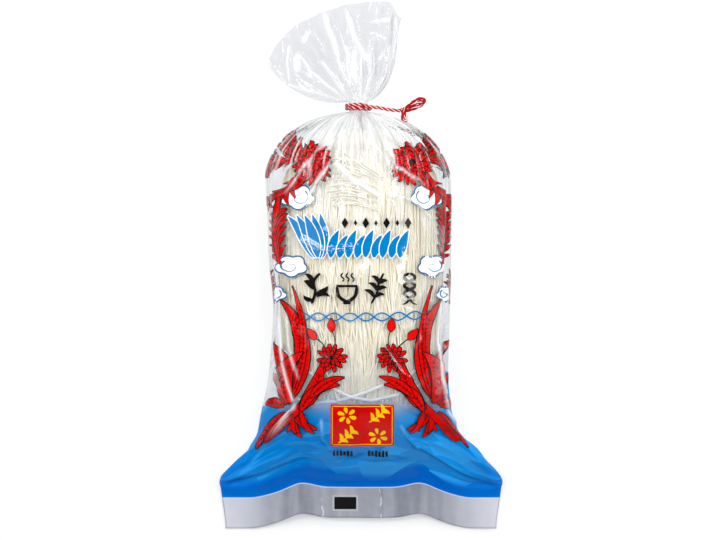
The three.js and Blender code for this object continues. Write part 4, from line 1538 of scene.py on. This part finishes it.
def draw_signs(art):
    """Four small pictures in brush strokes: a sprig of beans, a steaming bowl, a leafy twig and a twist."""
    art.motif()
    ink = "black"
    # beans on a sprig
    art.ribbon(ink, curve((311, 304), (315, 292), (313, 282), (320, 273)), 3.0)
    for at, to, bend, width in (
        ((314, 290), (303, 281), 0.15, 6.5),
        ((315, 294), (328, 286), 0.15, 6.5),
        ((313, 283), (304, 274), 0.15, 5),
        ((316, 297), (330, 297), -0.25, 4.6),
        ((312, 299), (303, 295), -0.25, 4.6),
    ):
        art.ribbon(ink, bent(at, to, bend), width, leaf_width)
    # bowl
    art.ribbon(ink, curve((337, 286), (339, 296), (347, 301), (355, 296), (357, 286)), 3.4)
    art.ribbon(ink, bent((336, 286), (358, 286), 0.0), 2.4)
    art.ribbon(ink, bent((343, 303), (351, 303), 0.0), 2.6)
    for x in (342.5, 347.5, 352.5):
        art.ribbon(ink, curve((x, 282), (x + 1.6, 279), (x - 1.4, 276), (x + 0.6, 272.5)), 1.5)
    # twig
    art.ribbon(ink, curve((371, 304), (377, 293), (379, 283), (384, 273)), 2.2)
    for n, at in enumerate(((374, 298), (377, 291), (379, 284))):
        art.ribbon(ink, bent(at, (at[0] - 10 + n, at[1] - 8), 0.2), 4.4, leaf_width)
        art.ribbon(ink, bent(at, (at[0] + 11 - n, at[1] - 3), -0.2), 4.4, leaf_width)
    # twist
    t = np.linspace(0, 1, 50)
    for sign in (-1, 1):
        x = 409 + sign * 5.2 * np.sin(2 * math.pi * 1.5 * t)
        art.ribbon(ink, np.stack([x, 273 + 25 * t], 1), 3.0)
        art.ribbon(ink, bent((409, 298), (409 + 7 * sign, 304.5), 0.15 * sign), 3.0, taper_width)

    # a braided line
    art.motif()
    x = np.linspace(294, 430, 220)
    for sign in (-1, 1):
        y = 317 - 2.2 * smooth(380, 430, x) + sign * 3.9 * np.sin((x - 294) / 5.1)
        art.ribbon("blue", np.stack([x, y], 1), 1.5)


def draw_patch(art):
    """The red patch with its two yellow flowers and two sprigs, and the small bars under it."""
    art.motif()
    left, right, top, bottom = 330.5, 394.0, 404.5, 447.0
    middle = (top + bottom) / 2
    art.ribbon("red", np.array([[left, middle], [right, middle]]), bottom - top, np.ones_like)
    inset = 1.8
    a, b, c, d = left + inset, right - inset, top + inset, bottom - inset
    for line in ([(a, c), (b, c)], [(b, c), (b, d)], [(b, d), (a, d)], [(a, d), (a, c)]):
        art.ribbon("yellow", np.array(line, float), 0.7)
    for n, (x, y) in enumerate(((347, 415.5), (378, 415.5), (347, 436.5), (378, 436.5))):
        if n in (0, 3):
            for k in range(6):
                angle = math.pi * k / 3 + 0.3
                tip = (x + 10.0 * math.cos(angle), y + 8.4 * math.sin(angle))
                near = (x + 2.4 * math.cos(angle), y + 2.2 * math.sin(angle))
                art.ribbon("yellow", bent(near, tip, 0.06), 5.0, petal_width)
        else:
            art.ribbon("yellow", curve((x - 9, y + 7), (x, y + 1), (x + 8, y - 7)), 1.5)
            for k, t in enumerate((0.15, 0.45, 0.75)):
                at = (x - 9 + 17 * t, y + 7 - 14 * t)
                art.ribbon("yellow", bent(at, (at[0] - 1, at[1] - 8), 0.2), 3.8, leaf_width)
                art.ribbon("yellow", bent(at, (at[0] + 8, at[1] + 1.5), -0.2), 3.8, leaf_width)
    art.motif()
    for start in (334, 369):
        for n in range(6):
            x = start + 3.5 * n
            tall = 6.6 - 1.4 * (n % 2)
            foot = BARS_AT + tall / 3
            art.ribbon("black", np.array([[x, BARS_AT - tall / 2], [x, BARS_AT + tall / 2]]), 2.3)
            art.ribbon("black", np.array([[x - 1.4, foot], [x + 1.8, foot]]), 1.5)


# =====================================================================================================
# The cord
# =====================================================================================================
def twisted(path, plies, offset, pitch, phase=0.0):
    """The plies of a cord laid round its path."""
    steps = run_lengths(path)
    rows = max(12, int(steps[-1] / CORD_STEP))
    at = np.linspace(0, steps[-1], rows)
    middle = np.stack([np.interp(at, steps, path[:, k]) for k in range(3)], 1)
    for _ in range(3):
        middle[1:-1] = (middle[:-2] + 2 * middle[1:-1] + middle[2:]) / 4
    ahead = np.gradient(middle, axis=0)
    ahead /= np.linalg.norm(ahead, axis=1, keepdims=True)
    up = np.zeros_like(middle)
    first = np.cross(ahead[0], [0.3, 0.1, 1.0])
    up[0] = first / np.linalg.norm(first)
    for n in range(1, rows):
        turned = up[n - 1] - ahead[n] * np.dot(up[n - 1], ahead[n])
        up[n] = turned / np.linalg.norm(turned)
    side = np.cross(ahead, up)
    made = []
    for n in range(plies):
        angle = (phase + 2 * math.pi * (n / plies + at / pitch))[:, None]
        made.append(middle + offset * (up * np.cos(angle) + side * np.sin(angle)))
    return made


def teardrop(root, tip, width, count=40):
    """A flat loop that leaves its root, goes round its tip and comes back."""
    root, tip = np.array(root, float), np.array(tip, float)
    along = tip - root
    side = np.array([-along[1], along[0], 0])
    side /= np.linalg.norm(side)
    angle = np.linspace(0, 2 * math.pi, count)[:, None]
    reach = (1 - np.cos(angle)) / 2
    return root + along * reach + side * (width / 2) * np.sin(angle) * (0.35 + 0.65 * reach)


KNOT_AT = np.array([21.4, 213.8, NECK_HEIGHT + 4])
LOOP_TIP = np.array([32.0, 219.6, NECK_HEIGHT + 4.5])
SHORT_TIP = np.array([22.4, 208.6, NECK_HEIGHT + 6.5])
CORD_RING = 6.0
CORD_STEP = 0.28  # between the points along a ply
TAIL = [(4.4, 216.0, 31.9), (9, 215.5, 31.2), (15, 214.4, 31.2)]
# The knot's loops: each one's tip, its width and how far it lies above the first.
LOOPS = [
    (LOOP_TIP, 5.0, 0.0),
    (LOOP_TIP + [-0.6, -1.2, 0.3], 2.6, 0.5),
    (LOOP_TIP + [-1.9, -2.2, 0.1], 1.2, -0.4),
    (SHORT_TIP, 3.4, 0.0),
    (SHORT_TIP + [0.3, 1.0, -0.2], 1.6, 0.3),
]


def cord_paths(look):
    """Each ply's path by colour: two turns round the neck, the tail, its knot and its loops."""
    angle = np.radians(np.linspace(75 + 720 + 40, 75, 150))
    share = np.linspace(0, 1, 150)
    turns = np.stack(
        [
            NECK_OFFSET + CORD_RING * np.cos(angle),
            mix(215.1, 216.8, share) + 0.3 * np.sin(angle * 0.5),
            NECK_HEIGHT + CORD_RING * np.sin(angle),
        ],
        1,
    )
    tail = curve(turns[-1], *TAIL, KNOT_AT + [1.0, 0.1, 0], count=64)
    main = np.concatenate([turns[:-1], tail])
    radius, offset = mm(look.ply_radius), mm(look.ply_radius) * 1.2
    plies = twisted(main, 4, offset, mm(look.pitch))
    red, white = plies[0::2], plies[1::2]
    around = np.linspace(0, 2 * math.pi * 2.2, 60)
    knot = KNOT_AT + np.stack([-0.7 + 0.22 * around / 2, 1.25 * np.cos(around), 1.25 * np.sin(around)], 1)
    pair = twisted(knot, 2, 0.35, 2.2)
    red.append(pair[0])
    white.append(pair[1])
    for n, (tip, width, lift) in enumerate(LOOPS):
        loop = teardrop(KNOT_AT + [0, 0, lift], tip + [0, 0, lift], width)
        pair = twisted(loop, 2, 0.3, 7.0 + n, 1.3 * n)
        red.append(pair[0])
        (red if n == 0 else white).append(pair[1])
    return red, white, radius


# =====================================================================================================
# The stage
# =====================================================================================================
# Where the lights round the bag stand, and how large they are.
BOXES = [
    ("left", (-0.9, 0.1, 0.75), (0.8, 0.5)),
    ("right", (0.9, 0.1, 0.75), (0.8, 0.5)),
    ("top", (0.0, 1.0, 0.75), (1.0, 0.5)),
]
STRIPS = [
    ("left", (-0.62, 0.2, 0.8), (0.11, 0.5)),
    ("right", (0.66, -0.1, 0.8), (0.11, 0.5)),
    ("top", (0.1, 0.75, 0.8), (0.14, 0.42)),
    ("over_left", (-0.34, 0.3, 1.3), (0.1, 0.4)),
    ("over_right", (0.3, 0.42, 1.3), (0.1, 0.4)),
]


def area_light(name, place, size, radiance, mirrored=True):
    """A rectangle of light aimed at the bag. One that isn't mirrored doesn't show in the bag's gloss."""
    width, height = size
    light = bpy.data.lights.new(name, "AREA")
    light.shape = "RECTANGLE"
    light.size, light.size_y = width, height
    light.energy = radiance * math.pi * width * height
    lamp = linked(name, light)
    lamp.visible_glossy = mirrored
    lamp.location = place
    lamp.rotation_euler = (-Vector(place)).to_track_quat("-Z", "Y").to_euler()


def floor_material(look):
    """A white table top that is faintly lit from below."""
    shader = material_shader("light_table")
    place = shader.place()
    cloud = shader.noise(place, 2.0, 2.0)
    beyond = shader.axis(place, "Y").ease(CORNER.y + 0.01, CORNER.y + 0.04)
    colour = shader.blend(beyond, rgb(194, 195, 197), rgb(122, 123, 125))
    colour = shader.blend(0.05 * cloud, colour, rgb(200, 201, 202))
    glow = shader.blend(beyond, (0.39, 0.39, 0.392, 1.0), (1.0, 1.0, 1.0, 1.0))
    surface = shader.principled(
        Base_Color=colour,
        Roughness=0.9,
        Specular_IOR_Level=0.1,
        Emission_Color=glow,
        Emission_Strength=look.table_glow,
    )
    return shader.finish(surface)


def make_world(look):
    """A room that is pale at the level of the table and darker overhead."""
    world = bpy.data.worlds.new("studio_room")
    bpy.context.scene.world = world
    shader = Shader(world)
    direction = shader.node("ShaderNodeTexCoord")["Generated"]
    up = shader.axis(direction, "Z")
    colour = shader.blend(up.ease(0.0, 0.2), rgb(246, 247, 248), look.overhead)
    shader.finish(shader.node("ShaderNodeBackground", {}, [colour, 1.0]), "ShaderNodeOutputWorld")


def make_camera():
    """The camera that took the picture, straight above the bag."""
    data = bpy.data.cameras.new("picture_camera")
    data.lens = VIEW_LENS
    data.sensor_width = 36.0
    data.clip_start = 0.05
    data.clip_end = 50
    camera = linked("picture_camera", data)
    x, y = VIEW_CENTRE[0] + SHIFT[0], VIEW_CENTRE[1] + SHIFT[1]
    camera.location = (x * MM, y * MM, VIEW_DISTANCE * MM)
    bpy.context.scene.camera = camera


# =====================================================================================================
# Settings
# =====================================================================================================
def colour_setting(name, description, default):
    return bpy.props.FloatVectorProperty(
        name=name, description=description, default=default, size=4, min=0.0, max=1.0, subtype="COLOR"
    )


def length_setting(name, description, default):
    """A length in metres."""
    return bpy.props.FloatProperty(
        name=name, description=description, default=default, precision=5, unit="LENGTH", subtype="DISTANCE"
    )


def share_setting(name, description, default):
    return bpy.props.FloatProperty(
        name=name, description=description, default=default, min=0.0, max=1.0, subtype="FACTOR"
    )


def light_setting(name, description, default):
    return bpy.props.FloatProperty(name=name, description=description, default=default, min=0.0)


class NoodleBagFilm(bpy.types.PropertyGroup):
    clearness: colour_setting("Clear film", "What one layer of clear film lets through", rgb(246, 247, 248))
    mouth: colour_setting("Gathered film", "What one layer lets through above the neck", rgb(245, 245, 246))
    haze: share_setting("Haze", "How milky the clear film is", 0.015)
    gloss: share_setting("Gloss", "What the film mirrors when it is seen face on", 0.028)
    roughness: share_setting("Roughness", "How blurred the film's reflections are", 0.06)
    blue_full: length_setting("Blue up to", "Height on the bag up to which the blue skirt is solid", 0.052)
    blue_end: length_setting("Blue fades out at", "Height on the bag at which the blue has faded away", 0.074)
    blue_cover: share_setting("Blue cover", "How much of what is behind it the blue hides", 1.0)
    blue_low: colour_setting("Blue near the seal", "Colour of the skirt near the seal", rgb(0, 95, 190))
    blue_high: colour_setting("Blue higher up", "Colour of the skirt where it fades out", rgb(0, 119, 200))
    blue_lit: colour_setting("Blue, lit", "Colour of the streaks of light on the skirt", rgb(44, 150, 222))
    seal_cover: share_setting("Seal cover", "How much of what is behind it the seal strip hides", 0.995)
    seal_light: colour_setting("Seal, light", "Colour of the seal strip at its ends", rgb(188, 190, 200))
    # seal_dark holds the painted shade of the strip's middle
    seal_dark: colour_setting("Seal, dark", "Colour of the seal strip in its middle", rgb(112, 115, 125))


class NoodleBagNoodles(bpy.types.PropertyGroup):
    thickness: length_setting("Strand thickness", "Diameter of one dry strand", 0.00095)
    strands: bpy.props.IntProperty(
        name="Strands in the outer layer",
        description="How many strands lie side by side",
        default=210,
        min=20,
        max=400,
    )
    pale: colour_setting("Pale strands", "Colour of the whitest strands", rgb(253, 251, 244))
    warm: colour_setting("Warm strands", "Colour of the yellower strands", rgb(238, 222, 184))
    grey: colour_setting("Grey strands", "Colour of the clearer strands", rgb(232, 228, 214))
    deep: colour_setting("Inside", "Shade between the strands", rgb(236, 224, 196))
    thread: colour_setting("Threads", "Colour of the threads round the hank", rgb(250, 250, 250))
    thread_thickness: length_setting("Thread thickness", "Diameter of the threads round the hank", 0.0017)


class NoodleBagPrint(bpy.types.PropertyGroup):
    red: colour_setting("Red", "Red ink", rgb(214, 8, 4))
    black: colour_setting("Black", "Black ink", rgb(20, 18, 18))
    dark: colour_setting("Veins", "Dark lines on the red", rgb(96, 6, 6))
    white: colour_setting("White", "White ink", rgb(248, 251, 254))
    blue: colour_setting("Blue", "Blue ink", rgb(0, 116, 178))
    slate: colour_setting("Slate", "Outline of the clouds", rgb(48, 98, 140))
    yellow: colour_setting("Yellow", "Yellow ink", rgb(255, 204, 10))


class NoodleBagCord(bpy.types.PropertyGroup):
    ply_radius: length_setting("Ply radius", "Radius of one of the cord's four plies", 0.00036)
    pitch: length_setting("Lay", "Length of one whole twist", 0.0058)
    red: colour_setting("Red ply", "Colour of the dark plies", rgb(180, 0, 8))
    # red_dark is the painted shade between the red fibres
    red_dark: colour_setting("Red ply, inside", "Colour between the red fibres", rgb(58, 0, 6))
    white: colour_setting("White ply", "Colour of the pale plies", rgb(250, 240, 240))


class NoodleBagStage(bpy.types.PropertyGroup):
    table_glow: light_setting("Table glow", "Light from under the table top", 0.76)
    overhead: colour_setting("Overhead", "Colour of the room above the bag", rgb(70, 71, 73))
    over_light: light_setting("Overhead box", "Brightness of the light above", 1.4)
    side_light: light_setting("Side boxes", "Brightness of the boxes round the bag", 1.6)
    strip_light: light_setting("Strips", "Brightness of the narrow lights", 15.0)


GROUPS = {
    "noodle_bag_film": NoodleBagFilm,
    "noodle_bag_noodles": NoodleBagNoodles,
    "noodle_bag_print": NoodleBagPrint,
    "noodle_bag_cord": NoodleBagCord,
    "noodle_bag_stage": NoodleBagStage,
}
FORM = {}


def film_form():
    """The film's form, which the print and the threads are laid on too."""
    if "film" not in FORM:
        FORM["film"] = make_film_form()
    return FORM["film"]


# =====================================================================================================
# Operators
# =====================================================================================================
class NOODLEBAG_OT_stage(bpy.types.Operator):
    """Set up the pale table, the soft light and the camera"""

    bl_idname = "noodle_bag.stage"
    bl_label = "Stage"

    def execute(self, context):
        look = context.scene.noodle_bag_stage
        make_camera()
        make_world(look)
        mesh = bpy.data.meshes.new("table_top")
        reach, low = 4.0, -0.0004
        corners = [(x * reach, y * reach, low) for x, y in ((-1, -1), (1, -1), (1, 1), (-1, 1))]
        mesh.from_pydata(corners, [], [(0, 1, 2, 3)])
        mesh.materials.append(floor_material(look))
        table = linked("table_top", mesh)
        area_light("box_over", (0.0, 0.1, 2.1), (2.6, 2.4), look.over_light, mirrored=False)
        for name, place, size in BOXES:
            area_light("box_" + name, place, size, look.side_light)
        for name, place, size in STRIPS:
            area_light("strip_" + name, place, size, look.strip_light)
        context.scene.view_settings.view_transform = "Standard"
        return {"FINISHED"}


class NOODLEBAG_OT_noodles(bpy.types.Operator):
    """Make the hank of noodles, its core and the threads round it"""

    bl_idname = "noodle_bag.noodles"
    bl_label = "Noodles"

    def execute(self, context):
        look = context.scene.noodle_bag_noodles
        noodle = noodle_material(look)
        radius = mm(look.thickness) / 2
        layers = hank_paths(look)
        count = look.strands
        for n, part in enumerate((layers[:count], layers[count : 2 * count], layers[2 * count :])):
            swept("noodles_%d" % (n + 1), part, radius, 5, noodle, "bag")
        swept("noodles_across", crossing_paths(), radius, 6, noodle, "bag")
        core_piece(core_material(look))
        # the thread's darker colour is its painted shade between fibres
        thread = thread_material("white_thread", look.thread, rgb(206, 208, 212), 0.6)
        radius = mm(look.thread_thickness) / 2
        swept("threads", string_paths(film_form()), radius, 8, thread, "bag")
        return {"FINISHED"}


class NOODLEBAG_OT_film(bpy.types.Operator):
    """Make the printed film of the bag"""

    bl_idname = "noodle_bag.film"
    bl_label = "Film"

    def execute(self, context):
        film_piece(film_form(), film_material(context.scene.noodle_bag_film))
        return {"FINISHED"}


class NOODLEBAG_OT_print(bpy.types.Operator):
    """Lay the artwork on the film"""

    bl_idname = "noodle_bag.print"
    bl_label = "Print"

    def execute(self, context):
        look = context.scene.noodle_bag_print
        # each ink's darker tone, for its unevenness and for its painted shade at the film's sides
        mottle_and_shade_tones = {
            "red": rgb(150, 6, 6),
            "black": rgb(44, 40, 40),
            "dark": rgb(60, 4, 4),
            "white": rgb(226, 236, 246),
            "blue": rgb(0, 98, 162),
            "slate": rgb(60, 100, 140),
            "yellow": rgb(240, 160, 8),
        }
        film = context.scene.noodle_bag_film
        materials = {}
        for ink, shade in mottle_and_shade_tones.items():
            materials[ink] = ink_material(ink + "_ink", getattr(look, ink), shade, film)
        draw_print(film_form()).pieces(materials)
        return {"FINISHED"}


class NOODLEBAG_OT_cord(bpy.types.Operator):
    """Make the twisted cord round the neck, with its tail and loops"""

    bl_idname = "noodle_bag.cord"
    bl_label = "Cord"

    def execute(self, context):
        look = context.scene.noodle_bag_cord
        red, white, radius = cord_paths(look)
        red_thread = thread_material("red_thread", look.red, look.red_dark, 0.55)
        # the darker pink is the white ply's painted shade between its fibres
        white_thread = thread_material("white_ply", look.white, rgb(226, 178, 180), 0.6)
        swept("cord_red", [(p, 0.5, 1.4) for p in red], radius, 8, red_thread, "tie")
        swept("cord_white", [(p, 0.5, 0.58) for p in white], radius, 8, white_thread, "tie")
        return {"FINISHED"}


OPERATORS = (
    NOODLEBAG_OT_stage,
    NOODLEBAG_OT_noodles,
    NOODLEBAG_OT_film,
    NOODLEBAG_OT_print,
    NOODLEBAG_OT_cord,
)


class NOODLEBAG_PT_panel(bpy.types.Panel):
    """The bag's pieces and their settings"""

    bl_idname = "NOODLEBAG_PT_panel"
    bl_label = "Bag of Glass Noodles"
    bl_space_type = "VIEW_3D"
    bl_region_type = "UI"
    bl_category = "Noodles"

    def draw(self, context):
        for operator in OPERATORS:
            self.layout.operator(operator.bl_idname)
        for name, group in GROUPS.items():
            box = self.layout.box()
            box.label(text=name.split("_")[-1].capitalize())
            for setting in group.__annotations__:
                box.prop(getattr(context.scene, name), setting)


CLASSES = (*GROUPS.values(), *OPERATORS, NOODLEBAG_PT_panel)


def register():
    for cls in CLASSES:
        bpy.utils.register_class(cls)
    for name, group in GROUPS.items():
        setattr(bpy.types.Scene, name, bpy.props.PointerProperty(type=group))


def unregister():
    for name in GROUPS:
        delattr(bpy.types.Scene, name)
    for cls in reversed(CLASSES):
        bpy.utils.unregister_class(cls)


def main():
    register()
    for operator in (
        bpy.ops.noodle_bag.stage,
        bpy.ops.noodle_bag.noodles,
        bpy.ops.noodle_bag.film,
        bpy.ops.noodle_bag.print,
        bpy.ops.noodle_bag.cord,
    ):
        operator()
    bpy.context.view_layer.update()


if __name__ == "__main__":
    main()
